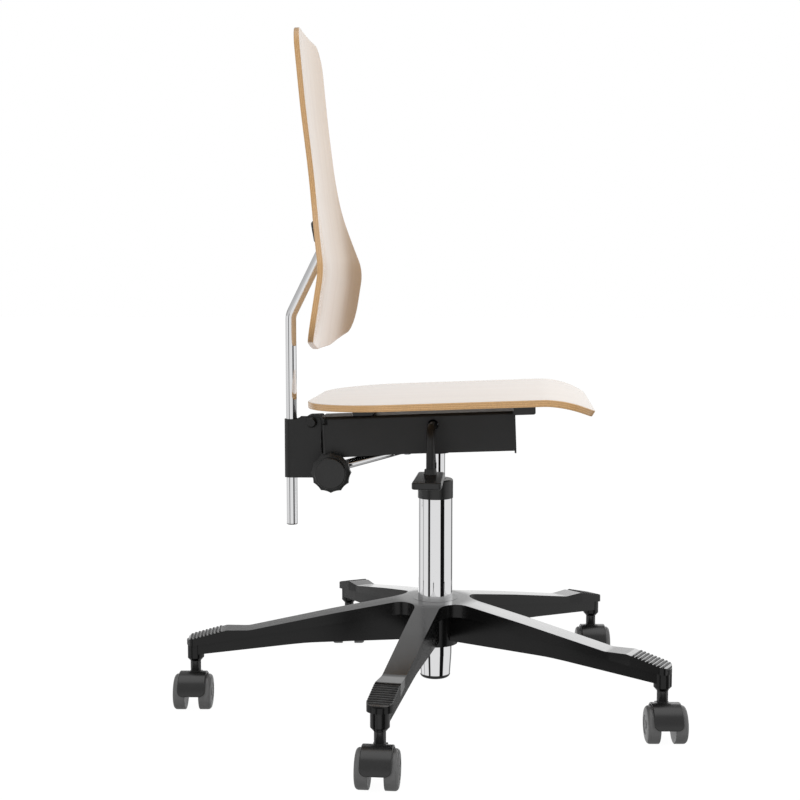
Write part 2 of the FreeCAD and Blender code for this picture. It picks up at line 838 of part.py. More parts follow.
def mechanism_channel():
    # Folded sheet, open below: roof, two walls, rear fold with a mouth, front tongue
    low = -channel_height
    deep = -channel_rear_height
    rear = -channel_rear
    inside = channel_half - sheet
    inner_rear = rear + sheet
    past_front = channel_front + over
    hull = plate([(rear, -channel_half, rear_bend), (channel_front, -channel_half),
                  (channel_front, channel_half), (rear, channel_half, rear_bend)],
                 on_plan, -deep, deep)
    side = plate([(rear, deep), (yoke_x, low, side_sweep), (channel_front, low),
                  (channel_front, 0.0), (rear, 0.0)],
                 on_side, 2 * channel_half, -channel_half)
    roof = plate([(-channel_half, deep), (channel_half, deep), (channel_half, 0.0, channel_bend),
                  (-channel_half, 0.0, channel_bend)],
                 on_front, channel_rear + channel_front, rear)
    hollow = plate([(inner_rear, -inside, rear_bend - sheet), (past_front, -inside),
                    (past_front, inside), (inner_rear, inside, rear_bend - sheet)],
                   on_plan, -deep, deep - sheet)
    cuts = [hollow, block(rear - over, inner_rear, -rear_opening_half, rear_opening_half,
                          deep - over, -sheet)]
    for y_low, y_high in ((-channel_half, -relief_inner), (relief_inner, channel_half)):
        cuts.append(block(rear - over, rear + relief_size, y_low, y_high, -sheet - relief_size, -sheet))
    tongue_end = channel_front + rail_gap + rail_width
    tongue = plate([(channel_front - over, -channel_half), (tongue_end, -channel_half, tongue_corner),
                    (tongue_end, channel_half, tongue_corner), (channel_front - over, channel_half)],
                   on_plan, sheet, -sheet)
    folded = hull.common(roof).common(side).cut(cuts).fuse(tongue)
    folded = tilted(folded.cut(driver_holes(rear_rail_x, rear_screw_spread, -sheet - over, over)))
    lever_hole = rod_y(lever_diameter / 2 + lever_hole_room, -channel_half - over, over - inside,
                       paddle_x, lever_z)
    return folded.cut(lever_hole).removeSplitter()


def front_plate():
    low = -channel_height - front_lip
    shape = plate([(-channel_half, low, front_corner), (channel_half, low, front_corner),
                   (channel_half, -sheet), (-channel_half, -sheet)],
                  on_front, sheet, channel_front)
    return tilted(shape)


def rail_section(x, inset, radius):
    low = inset
    high = rail_height - inset
    half = rail_width / 2 - inset
    return [(x - half, low, radius), (x + half, low, radius),
            (x + half, high, radius), (x - half, high, radius)]


def driver_holes(x, spread, low, high):
    radius = screw_diameter / 2 + screw_head + driver_room
    return [cylinder(radius, low, high, x, side * spread) for side in (-1, 1)]


def seat_rail(x, half_length, spread):
    # Square tube under the seat; each screw's head bears inside on the upper wall
    tube = plate(rail_section(x, 0.0, rail_round), on_side, 2 * half_length, -half_length)
    bore = plate(rail_section(x, rail_wall, rail_inner_round), on_side, 2 * half_length, -half_length)
    cuts = [bore] + driver_holes(x, spread, -over, rail_wall + over)
    for side in (-1, 1):
        cuts.append(cylinder(screw_diameter / 2, rail_height / 2, rail_height + over, x, side * spread))
    return tilted(tube.cut(cuts))


def rail_plugs():
    # Moulded plugs in the four open ends of the rails
    spigot_inset = rail_wall + sliding
    plugs = []
    for x, half_length in ((rear_rail_x, rear_rail_half), (front_rail_x(), front_rail_half)):
        for side in (-1, 1):
            end = side * half_length
            rim = rail_section(x, 0.0, rail_round)
            core = rail_section(x, spigot_inset, rail_inner_round)
            flange = plate(rim, on_side, side * plug_flange, end)
            spigot = plate(core, on_side, -side * plug_depth, end)
            plugs.append(tilted(flange.fuse(spigot)))
    return Part.makeCompound(plugs)


def front_rail_x():
    return channel_front + rail_gap + rail_width / 2


def screw_places():
    places = []
    for x, spread in ((rear_rail_x, rear_screw_spread), (front_rail_x(), front_screw_spread)):
        places += [(x, -spread), (x, spread)]
    return places


def seat_screws():
    radius = screw_diameter / 2
    head = radius + screw_head
    seat_face = rail_height - rail_wall
    low = seat_face - head_height
    tip = seat_under + screw_bite
    screws = []
    for x, y in screw_places():
        screw = lathe([(0.0, tip), (radius, tip), (radius, seat_face), (head, seat_face),
                       (head, low + head_bevel), (head - head_bevel, low), (0.0, low)])
        screws.append(tilted(screw.translated(V(x, y, 0))))
    return Part.makeCompound(screws)


def taper_socket():
    # Steel taper that takes the column's end, welded into a bridge between the channel's walls
    inside = channel_half - sheet
    low = cylinder_top - taper_length
    high = cylinder_top - taper_rim
    outer = cylinder_radius + socket_wall
    bridge_top = -socket_bridge_drop
    bridge = tilted(block(-outer - over, bridge_front, -inside, inside,
                          bridge_top - socket_bridge, bridge_top))
    bush = cylinder(outer, low, high)
    small = cylinder_radius - taper_loss
    bore = lathe([(0.0, low - over), (cylinder_radius, low - over), (cylinder_radius, low),
                  (small, high), (small, cylinder_top), (0.0, cylinder_top)])
    return bridge.fuse(bush).cut(bore)


def hinge_tongue():
    # Folded ears behind the channel that carry the back's pivot
    x, drop = drawn_point(pivot_x, pivot_z)
    wide = cheek_inner - free
    gap = wide - sheet
    rear = x - pivot_diameter / 2 - ear_margin
    front = x + ear_reach
    low = -drop - ear_below
    high = -drop + ear_above
    step = -channel_rear - free
    rear_low, front_low, step_top, rear_top = ear_rounds
    ears = plate([(rear, low, rear_low), (front, low, front_low), (front, -sheet), (step, -sheet),
                  (step, high, step_top), (rear, high, rear_top)],
                 on_side, 2 * wide, -wide)
    slot = block(rear - over, front + over, -gap, gap, low - over, -2 * sheet)
    slot_top = block(rear - over, -channel_rear, -gap, gap, -2 * sheet, high + over)
    spacer = rod_y(pivot_diameter / 2 + ear_boss, -gap, gap, x, -drop)
    bore = rod_y(pivot_diameter / 2 + running, -wide - over, wide + over, x, -drop)
    return tilted(ears.cut([slot, slot_top]).fuse(spacer).cut(bore))


def strut_clevis():
    # Two hangers from the channel's roof that carry the yoke
    x, drop = drawn_point(yoke_x, yoke_z)
    wide = yoke_radius + hanger_margin
    low = yoke_radius + hanger_below
    inner = strut_inner - free - 2 * sheet - hanger_step
    bore = rod_y(yoke_radius + running, -channel_half, channel_half, x, -drop)
    hangers = []
    for start in (inner, -inner - sheet):
        hanger = plate([(x - wide, -sheet), (x - wide, -drop - low, low),
                        (x + wide, -drop - low, low), (x + wide, -sheet)],
                       on_side, sheet, start)
        hangers.append(tilted(hanger.cut(bore)))
    return Part.makeCompound(hangers)


def strut_direction():
    lean = math.radians(strut_slope)
    return V(math.cos(lean), 0, math.sin(lean))


def strut_yoke():
    # Turning bar whose cross holes guide the strut's two rods
    half = channel_half - sheet - free
    bar = rod_y(yoke_radius, -half, half, yoke_x, yoke_z)
    along = strut_direction()
    holes = []
    for hand in (-1, 1):
        start = V(yoke_x, hand * strut_half_gap, yoke_z) - along * yoke_radius * 2
        holes.append(Part.makeCylinder(strut_rod / 2 + yoke_play, yoke_radius * 4, start, along))
    return bar.cut(holes)


def strut_rods():
    # Each rod starts in an eye on the clamp bolt and ends past the yoke
    along = strut_direction()
    reach = (yoke_x - clamp_x) / along.x + strut_overrun
    half = strut_eye_width / 2
    rods = []
    for hand in (-1, 1):
        y = hand * strut_half_gap
        rod = Part.makeCylinder(strut_rod / 2, reach, V(clamp_x, y, clamp_z), along)
        eye = rod_y(strut_eye_radius, y - half, y + half, clamp_x, clamp_z)
        bore = rod_y(clamp_diameter / 2 + running, y - strut_rod, y + strut_rod, clamp_x, clamp_z)
        rods.append(rod.fuse(eye).cut(bore).removeSplitter())
    return Part.makeCompound(rods)


# Seat

def seat_slab():
    # Flat board whose front bends down on one radius, longer and wider than the seat
    top = seat_under + seat_thickness
    centre = V(lip_start, 0, top - lip_radius)
    reach = seat_front + lip_radius
    bow = math.radians(lip_run)
    lines = []
    for radius, height in ((lip_radius, top), (lip_radius - seat_thickness, seat_under)):
        middle = centre + V(math.sin(bow / 2), 0, math.cos(bow / 2)) * radius
        end = centre + V(math.sin(bow), 0, math.cos(bow)) * radius
        lines.append((V(-reach, 0, height), V(lip_start, 0, height), middle, end))
    upper, lower = lines
    edges = [Part.LineSegment(upper[0], upper[1]), Part.Arc(upper[1], upper[2], upper[3]),
             Part.LineSegment(upper[3], lower[3]), Part.Arc(lower[3], lower[2], lower[1]),
             Part.LineSegment(lower[1], lower[0]), Part.LineSegment(lower[0], upper[0])]
    wire = Part.Wire([edge.toShape() for edge in edges])
    slab = Part.Face(wire).extrude(V(0, 2 * seat_half_width, 0))
    return slab.translated(V(0, -seat_half_width, 0))


def seat_shell():
    # The rear and sides are cut upright, the front square to the bent sheet
    half = seat_half_width
    reach = seat_front + lip_radius
    plan = plate([(-seat_rear, -half, seat_rear_radius), (reach, -half),
                  (reach, half), (-seat_rear, half, seat_rear_radius)],
                 on_plan, 2 * reach, -reach)
    bend = math.asin((seat_front - lip_start) / lip_radius)
    square = V(math.sin(bend), 0, math.cos(bend))
    edge_z = seat_under + seat_thickness - lip_radius * (1 - math.cos(bend))
    nose = outline([(-2 * reach, -half), (seat_front, -half, seat_front_radius),
                    (seat_front, half, seat_front_radius), (-2 * reach, half)], on_plan)
    nose.translate(V(0, 0, edge_z) - square * lip_radius)
    seat = seat_slab().common(plan).common(nose.extrude(square * 2 * lip_radius))
    rim = [edge for edge in seat.Edges if not on_flat_end(edge)]
    seat = seat.makeFillet(ply_round, rim)
    holes = []
    for x, y in screw_places():
        holes.append(cylinder(screw_diameter / 2, seat_under - over, seat_under + screw_bite, x, y))
    return tilted(seat.cut(holes))


def on_flat_end(edge):
    # Edges across the ply's thickness, and the seams of its bend, stay as they are
    ends = [vertex.Point for vertex in edge.Vertexes]
    if len(ends) < 2:
        return False
    span = ends[1] - ends[0]
    crosses = abs(abs(span.y) - 2 * seat_half_width) < over and abs(span.x) < over
    return crosses or span.Length < seat_thickness * 1.25


# Release lever

def release_lever():
    # Rod through the channel's wall, bent down to the paddle, flattened over the valve
    radius = lever_diameter / 2
    top = lever_z
    low = channel_top - paddle_top_drop - paddle_thickness / 2
    start = lever_pivot_y + lever_inner
    path = [(start, top), (-lever_reach, top, lever_bend), (-lever_reach - lever_splay, low)]
    edges = rounded_edges(path, on_front, closed=False)
    ring = Part.Wire(Part.Circle(V(0, start, top), Y_AXIS, radius).toShape())
    rod = Part.Wire(edges).makePipeShell([ring], True, False)
    rod.translate(V(paddle_x, 0, 0))
    root = lever_pivot_y + arm_root
    arm = plate([(-arm_half, root), (arm_half, root),
                 (arm_half, arm_reach, arm_corner), (-arm_half, arm_reach, arm_corner)],
                on_plan, arm_thickness, cylinder_top + valve_lift)
    bore = rod_x(lever_pin_diameter / 2 + running, paddle_x - lever_diameter, paddle_x + lever_diameter,
                 lever_pivot_y, top)
    return rod.fuse(arm).cut(bore)


def lever_paddle():
    top = channel_top - paddle_top_drop
    low = top - paddle_thickness
    inner = -paddle_inner
    outer = inner - paddle_length
    half = paddle_width / 2
    narrow = half - paddle_taper
    body = plate([(paddle_x - narrow, inner, paddle_corner), (paddle_x + narrow, inner, paddle_corner),
                  (paddle_x + half, outer, paddle_corner), (paddle_x - half, outer, paddle_corner)],
                 on_plan, paddle_thickness, low)
    rims = [edge for edge in body.Edges if edge.BoundBox.ZLength < free]
    body = body.makeFillet(paddle_round, rims)
    radius = lever_diameter / 2
    foot = V(paddle_x, -lever_reach - lever_splay, low + paddle_thickness / 2)
    lean = V(paddle_x, -lever_reach, lever_z) - foot
    collar = Part.makeCone(radius + collar_foot, radius + collar_lip,
                           paddle_thickness / 2 + collar_rise, foot, lean)
    bore = Part.makeCylinder(radius + press, lever_z - lever_bend - low, foot, lean)
    return body.fuse(collar).cut(bore)


def lever_pin():
    return rod_x(lever_pin_diameter / 2, paddle_x - lever_pin_half, paddle_x + lever_pin_half,
                 lever_pivot_y, lever_z)


def lever_bracket():
    # Two ears hung from the channel's top, one each side of the lever
    gap = lever_diameter / 2 + ear_side_room
    near = lever_pivot_y - ear_near
    far = lever_pivot_y + ear_far
    low = -lever_drop - ear_low
    bore = rod_x(lever_pin_diameter / 2, paddle_x - lever_pin_half, paddle_x + lever_pin_half,
                 lever_pivot_y, lever_z)
    ears = []
    for start in (paddle_x + gap, paddle_x - gap - sheet):
        ear = plate([(near, low, ear_corner), (far, low, ear_corner), (far, -sheet), (near, -sheet)],
                    on_front, sheet, start)
        ears.append(tilted(ear).cut(bore))
    return Part.makeCompound(ears)


# Back carrier

def back_bracket():
    # One folded sheet: sleeve round the tube, two cheeks with the pivot and the clamp lug
    low = channel_top - bracket_drop
    high = low + bracket_height
    cheek_top = high + cheek_rise
    rear = tube_x - cheek_outer - over
    front = clamp_x + lug_radius
    cheek_front = pivot_x + pivot_diameter / 2 + cheek_reach
    lug_top = clamp_z + lug_radius
    fold = tube_x + cheek_outer
    wide = 2 * cheek_outer
    sleeve = cylinder(cheek_outer, low, cheek_top, tube_x)
    straight = block(tube_x, front, -cheek_outer, cheek_outer, low, cheek_top)
    inside = [cylinder(cheek_inner, low - over, cheek_top + over, tube_x),
              block(tube_x, front + over, -cheek_inner, cheek_inner, low - over, cheek_top + over)]
    profile = plate([(rear, low), (front, clamp_z - lug_radius, lug_corner),
                     (front, lug_top + lug_step, lug_corner),
                     (cheek_front, lug_top + lug_rise, cheek_sweep),
                     (cheek_front, cheek_top, cheek_corner),
                     (fold + fold_corner, cheek_top, fold_corner), (fold, high, fold_corner),
                     (rear, high)], on_side, 2 * wide, -wide)
    bores = [rod_y(pivot_diameter / 2 + press, -wide, wide, pivot_x, pivot_z),
             rod_y(clamp_diameter / 2 + running, -wide, wide, clamp_x, clamp_z)]
    return sleeve.fuse(straight).cut(inside).common(profile).cut(bores).removeSplitter()


def sleeve_liner():
    low = channel_top - bracket_drop + liner_end
    high = low + bracket_height - 2 * liner_end
    ring = cylinder(cheek_inner, low, high, tube_x)
    bore = cylinder(tube_radius + running, low - over, high + over, tube_x)
    half_split = liner_split / 2
    split = block(tube_x, tube_x + 2 * cheek_outer, -half_split, half_split, low - over, high + over)
    return ring.cut([bore, split])


def pivot_bolt():
    radius = pivot_diameter / 2
    far = cheek_outer + pivot_nut_height + bolt_overrun
    head = pivot_head_radius
    face = -cheek_outer
    end = face - pivot_head_height
    bolt = lathe([(0.0, far), (radius - bolt_bevel, far), (radius, far - bolt_bevel), (radius, face),
                  (head, face), (head, end + pivot_head_bevel, pivot_head_bevel / 2),
                  (head - pivot_head_bevel, end), (0.0, end)],
                 Y_AXIS, on_plan)
    return bolt.translated(V(pivot_x, 0, pivot_z))


def hex_nut(across, bore, thick, start, x, z):
    radius = across / math.sqrt(3)
    corners = []
    for i in range(6):
        turn = math.radians(60 * i + 30)
        corners.append((x + radius * math.cos(turn), z + radius * math.sin(turn)))
    nut = plate(corners, on_side, thick, start)
    return nut.cut(rod_y(bore, start - over, start + thick + over, x, z))


def pivot_nut():
    return hex_nut(pivot_nut_width, pivot_diameter / 2, pivot_nut_height, cheek_outer, pivot_x, pivot_z)


def clamp_nut():
    return hex_nut(clamp_nut_width, clamp_diameter / 2 + running, clamp_nut_height,
                   strut_outer + sliding, clamp_x, clamp_z)


def knob_inner_face():
    return -(channel_half + knob_gap)


def clamp_spacers():
    # Sleeves on the bolt that hold the strut's eyes off the cheeks and the knob off the eye
    near_knob = knob_inner_face() + sliding
    spans = ((near_knob, -strut_outer - sliding), (-strut_inner + sliding, -cheek_outer),
             (cheek_outer, strut_inner - sliding))
    sleeves = []
    for low, high in spans:
        sleeve = rod_y(strut_eye_radius, low, high, clamp_x, clamp_z)
        bore = rod_y(clamp_diameter / 2 + running, low - over, high + over, clamp_x, clamp_z)
        sleeves.append(sleeve.cut(bore))
    return Part.makeCompound(sleeves)


def clamp_bolt():
    radius = clamp_diameter / 2
    far = strut_outer + clamp_nut_height + clamp_overrun
    near = knob_inner_face() - knob_thickness * knob_bolt_share
    bolt = lathe([(0.0, far), (radius - bolt_bevel, far), (radius, far - bolt_bevel),
                  (radius, near), (0.0, near)], Y_AXIS, on_plan)
    return bolt.translated(V(clamp_x, 0, clamp_z))


def clamp_knob():
    # Scalloped grip behind a round face
    inner = knob_inner_face()
    outer = inner - knob_thickness
    radius = knob_diameter / 2
    face = knob_face / 2
    grip_back = inner - knob_grip_back
    grip_front = outer + knob_grip_front
    step = 2 * math.pi / knob_points
    valley = radius * math.cos(step / 2) - knob_scallop / 2
    edges = []
    for i in range(knob_points):
        turn = i * step
        first = V(math.cos(turn), 0, math.sin(turn)) * radius
        middle = V(math.cos(turn + step / 2), 0, math.sin(turn + step / 2)) * valley
        last = V(math.cos(turn + step), 0, math.sin(turn + step)) * radius
        edges.append(Part.Arc(first, middle, last).toShape())
    grip = Part.Face(Part.Wire(edges)).extrude(Y_AXIS * (grip_back - grip_front))
    grip.translate(Y_AXIS * grip_front)
    slope = lathe([(0.0, grip_back), (radius - knob_bevel, grip_back), (radius, grip_back - knob_bevel),
                   (radius, grip_front + knob_bevel), (face + knob_rim, grip_front), (0.0, grip_front)],
                  Y_AXIS, on_plan)
    cap_back = grip_back - knob_rim
    cap = lathe([(0.0, inner), (knob_foot, inner), (knob_foot, cap_back), (face, cap_back),
                 (face, outer + knob_rim, knob_rim_round), (face / 2, outer, knob_dome), (0.0, outer)],
                Y_AXIS, on_plan)
    depth = knob_thickness * knob_bolt_share
    bore = rod_y(clamp_diameter / 2 + press, inner - depth, inner + over, 0.0, 0.0)
    knob = grip.common(slope).fuse(cap).cut(bore).removeSplitter()
    return knob.translated(V(clamp_x, 0, clamp_z))


# Back

def shell_line():
    # Front of the back along its middle, from the bottom edge to the top edge
    return [(back_bottom_x, channel_top + back_bottom_rise),
            (lumbar_x, channel_top + lumbar_rise),
            (knee_x, channel_top + knee_rise),
            (back_top_x, channel_top + back_top_rise)]


def mount_line():
    # Direction of the straight stretch above the lumbar, and the way out of its rear face
    line = shell_line()
    low = V(line[1][0], 0, line[1][1])
    high = V(line[2][0], 0, line[2][1])
    along = (high - low).normalize()
    rear = V(-along.z, 0, along.x)
    return low, along, rear


def tube_points():
    # Foot, first bend, second bend on the line of the clip, end inside the clip
    low, along, rear = mount_line()
    offset = low + rear * (back_thickness + free + tube_radius)
    knee = V(tube_x, 0, channel_top + tube_knee_rise)
    lean = math.radians(tube_lean)
    heading = V(math.sin(lean), 0, math.cos(lean))
    gap = offset - knee
    turn = heading.x * along.z - heading.z * along.x
    reach = (gap.x * along.z - gap.z * along.x) / turn
    bend = knee + heading * reach
    middle = clip_centre()
    end = middle - rear * (middle - bend).dot(rear) + along * (clip_length / 2 - tube_end_back)
    return [(tube_x, channel_top - tube_foot_drop), (knee.x, knee.z), (bend.x, bend.z), (end.x, end.z)]


def clip_centre():
    low, along, rear = mount_line()
    line = shell_line()
    span = (V(line[2][0], 0, line[2][1]) - low).Length
    return low + along * (span * clip_share) + rear * back_thickness


def back_tube():
    points = tube_points()
    return pipe(points, tube_radius, tube_bend).cut(pipe(points, tube_radius - tube_wall, tube_bend))


def tube_plug():
    top = channel_top - tube_foot_drop
    low = top - plug_lip
    inner = tube_radius - tube_wall
    plug = lathe([(0.0, low), (tube_radius - plug_bevel, low), (tube_radius, low + plug_bevel),
                  (tube_radius, top), (inner, top), (inner, top + plug_reach), (0.0, top + plug_reach)])
    return plug.translated(V(tube_x, 0, 0))


def clip_frame(shape):
    # Carries a piece drawn with X out of the shell and Z up the shell to the clip's place
    low, along, rear = mount_line()
    lean = math.degrees(math.atan2(along.x, along.z))
    shape.rotate(ORIGIN, Y_AXIS, lean)
    shape.translate(clip_centre())
    return shape


def back_clip():
    # Moulded saddle that holds the tube's end against the shell
    deep = free + tube_diameter + clip_wall
    half = clip_width / 2
    long = clip_length / 2
    hump = tube_radius + clip_hump
    saddle = plate([(-clip_gap, -half, clip_edge_round), (-clip_gap, half, clip_edge_round),
                    (-clip_wing, half, clip_wing_round), (-deep, hump, clip_round),
                    (-deep, -hump, clip_round), (-clip_wing, -half, clip_wing_round)],
                   on_plan, clip_length, -long)
    side = plate([(-clip_gap, -long, clip_edge_round), (-clip_gap, long, clip_edge_round),
                  (-deep, long, clip_round), (-deep, -long, clip_round)],
                 on_side, clip_width + 2 * over, -half - over)
    radius = clip_screw_diameter / 2
    head = radius + clip_screw_head + clip_head_room
    bores = []
    for hand in (-1, 1):
        y = hand * clip_screw_spread
        bores.append(rod_x(radius, -deep, over, y, 0.0))
        bores.append(rod_x(head, -deep, -clip_head_seat, y, 0.0))
    saddle = clip_frame(saddle.common(side).cut(bores))
    return saddle.cut(pipe(tube_points(), tube_radius + press, tube_bend))


def clip_screws():
    radius = clip_screw_diameter / 2
    head = radius + clip_screw_head
    seat = -clip_head_seat
    end = seat - clip_head_height
    screws = []
    for hand in (-1, 1):
        screw = lathe([(0.0, clip_screw_bite), (radius, clip_screw_bite), (radius, seat), (head, seat),
                       (head, end + clip_head_bevel), (head - clip_head_bevel, end), (0.0, end)],
                      X_AXIS, lambda r, x: V(x, r, 0))
        screws.append(clip_frame(screw.translated(V(0, hand * clip_screw_spread, 0))))
    return Part.makeCompound(screws)


def shell_section():
    # Closed section along the middle, run on past both ends; its rear lies one thickness behind
    (bottom_x, bottom_z), (belly_x, belly_z), (bow_x, bow_z), (top_x, top_z) = shell_line()
    low_lean = (belly_x - bottom_x) / (belly_z - bottom_z)
    high_lean = (top_x - bow_x) / (top_z - bow_z)
    front = [(bottom_x - run_on * low_lean, bottom_z - run_on), (belly_x, belly_z, lumbar_round),
             (bow_x, bow_z, knee_round), (top_x + run_on * high_lean, top_z + run_on)]
    face = Part.Wire(rounded_edges(front, on_side, closed=False))
    rear = face.makeOffset2D(back_thickness, openResult=True)
    if rear.BoundBox.Center.x > face.BoundBox.Center.x:
        rear = face.makeOffset2D(-back_thickness, openResult=True)
    front_ends = sorted((vertex.Point for vertex in face.OrderedVertexes), key=lambda point: point.z)
    rear_ends = sorted((vertex.Point for vertex in rear.OrderedVertexes), key=lambda point: point.z)
    caps = [Part.LineSegment(front_ends[i], rear_ends[i]).toShape() for i in (0, -1)]
    return Part.Face(Part.Wire(Part.__sortEdges__(face.Edges + rear.Edges + caps)))


def is_wall(face):
    # True for the outline's walls, which face sideways, up or down
    u_low, u_high, v_low, v_high = face.ParameterRange
    return abs(face.normalAt((u_low + u_high) / 2, (v_low + v_high) / 2).x) < 0.5


def rim_edges(shell):
    # Edges where the outline's walls meet the front or the rear face
    broad = [face for face in shell.Faces if not is_wall(face)]
    rim = []
    for wall in filter(is_wall, shell.Faces):
        for edge in wall.Edges:
            if any(edge.isSame(other) for face in broad for other in face.Edges):
                rim.append(edge)
    return rim


def back_shell():
    # The section turned about an upright axis in front, cut to the outline seen from the front
    section = shell_section()
    axis_at = V(lumbar_x + back_curve, 0, 0)
    section.rotate(axis_at, Z_AXIS, -sweep_half)
    bowl = section.revolve(axis_at, Z_AXIS, 2 * sweep_half)
    bottom = channel_top + back_bottom_rise
    top = channel_top + back_top_rise
    wide_at = channel_top + lumbar_rise - wide_drop
    neck_at = channel_top + knee_rise + neck_rise
    shape = [(-back_low_half, bottom, back_low_round), (back_low_half, bottom, back_low_round),
             (back_wide_half, wide_at, wide_round), (back_neck_half, neck_at, neck_sweep),
             (back_top_half, top, back_top_round)]
    mirrored = [(-y, z, radius) for y, z, radius in shape[:1:-1]]
    profile = plate(shape + mirrored, on_front, back_curve, -back_curve / 2)
    shell = bowl.common(profile)
    shell = shell.makeFillet(ply_round, rim_edges(shell))
    holes = []
    for hand in (-1, 1):
        bore = rod_x(clip_screw_diameter / 2, -over, clip_screw_bite, hand * clip_screw_spread, 0.0)
        holes.append(clip_frame(bore))
    return shell.cut(holes)


os.makedirs("parts", exist_ok=True)
save("star_base", star_base())
casters()
save("column_housing", column_housing())
save("column_bush", column_bush())
save("thrust_bearing", thrust_bearing())
save("piston_rod", piston_rod())
save("rod_clip", rod_clip())
save("gas_cylinder", gas_cylinder())
save("valve_pin", valve_pin())
save("mechanism_channel", mechanism_channel())
save("front_plate", front_plate())
save("seat_rail_front", seat_rail(front_rail_x(), front_rail_half, front_screw_spread))
save("seat_rail_rear", seat_rail(rear_rail_x, rear_rail_half, rear_screw_spread))
save("rail_plugs", rail_plugs())
save("seat_screws", seat_screws())
save("taper_socket", taper_socket())
save("hinge_tongue", hinge_tongue())
save("strut_clevis", strut_clevis())
save("strut_yoke", strut_yoke())
save("strut_rods", strut_rods())
save("seat_shell", seat_shell())
save("release_lever", release_lever())
save("lever_paddle", lever_paddle())
save("lever_pin", lever_pin())
save("lever_bracket", lever_bracket())
save("back_bracket", back_bracket())
save("sleeve_liner", sleeve_liner())
save("pivot_bolt", pivot_bolt())
save("pivot_nut", pivot_nut())
save("clamp_nut", clamp_nut())
save("clamp_spacers", clamp_spacers())
save("clamp_bolt", clamp_bolt())
save("clamp_knob", clamp_knob())
save("back_tube", back_tube())
save("tube_plug", tube_plug())
save("back_clip", back_clip())
save("clip_screws", clip_screws())
save("back_shell", back_shell())
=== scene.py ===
import bpy
import math
import numpy as np
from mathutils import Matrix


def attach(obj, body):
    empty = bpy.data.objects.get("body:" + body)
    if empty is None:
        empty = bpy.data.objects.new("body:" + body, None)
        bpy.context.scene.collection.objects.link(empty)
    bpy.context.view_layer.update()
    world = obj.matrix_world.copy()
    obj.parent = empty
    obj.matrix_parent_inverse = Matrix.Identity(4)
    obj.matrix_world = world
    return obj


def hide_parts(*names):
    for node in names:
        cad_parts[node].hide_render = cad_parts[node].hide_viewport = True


# Work chair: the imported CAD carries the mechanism, this file adds plywood, finishes and light
# Metres, X towards the seat's front, Z up, origin on the floor under the gas column

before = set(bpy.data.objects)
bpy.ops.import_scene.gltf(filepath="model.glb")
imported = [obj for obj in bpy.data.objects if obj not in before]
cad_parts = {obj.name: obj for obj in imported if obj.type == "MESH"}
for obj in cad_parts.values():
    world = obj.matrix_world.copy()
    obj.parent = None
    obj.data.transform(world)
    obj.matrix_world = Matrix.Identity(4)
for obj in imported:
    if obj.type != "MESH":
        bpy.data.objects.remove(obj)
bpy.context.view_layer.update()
print("frame loaded:", len(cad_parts), "nodes")

mm = 0.001
channelTop = 421 * mm  # top of the folded channel at the column's axis


# materials

def hexLinear(code):
    srgb = np.array([int(code[i:i + 2], 16) for i in (1, 3, 5)]) / 255.0
    low = srgb / 12.92
    high = ((srgb + 0.055) / 1.055) ** 2.4
    return tuple(np.where(srgb <= 0.04045, low, high)) + (1.0,)


def grey(level):
    return (level, level, level, 1.0)


def addNode(tree, kind, inputs=(), **settings):
    node = tree.nodes.new(kind)
    for name, value in settings.items():
        setattr(node, name, value)
    for key, value in dict(inputs).items():
        if isinstance(value, bpy.types.NodeSocket):
            tree.links.new(value, node.inputs[key])
        else:
            node.inputs[key].default_value = value
    return node


def newMaterial(name):
    made = bpy.data.materials.new(name)
    made.use_nodes = True
    made.node_tree.nodes.clear()
    return made, made.node_tree


def closeMaterial(tree, surface):
    addNode(tree, "ShaderNodeOutputMaterial", {"Surface": surface.outputs["BSDF"]})


def setRamp(node, stops):
    # A stop is its position and its linear colour
    elements = node.color_ramp.elements
    while len(elements) > 1:
        elements.remove(elements[-1])
    elements[0].position, elements[0].color = stops[0]
    for position, colour in stops[1:]:
        elements.new(position).color = colour


veneer = {
    "dark": "#CBA173", "middle": "#D3AC7E", "pale": "#D8B389", "fleck": "#A57E55",
    "tones": (0.3, 0.5, 0.68),   # places of dark, middle and pale in the mixed pattern
    "growth": (22.0, 420.0),     # mm across and along the grain, broad colour drift
    "fibre": (0.9, 60.0),        # mm, drawn coarser than real beech fibres so that it shows
    "fibreShare": 0.45,
    "fleckCell": (1.6, 8.8),     # mm, one ray fleck in each cell
    "fleckFade": (0.05, 0.16), "fleckShare": 0.2,
    "relief": 0.01, "reliefDepth": 0.1 * mm,
    "ior": 1.5, "roughness": 0.4, "coatRoughness": 0.12, "sheenRoughness": 0.3,
}


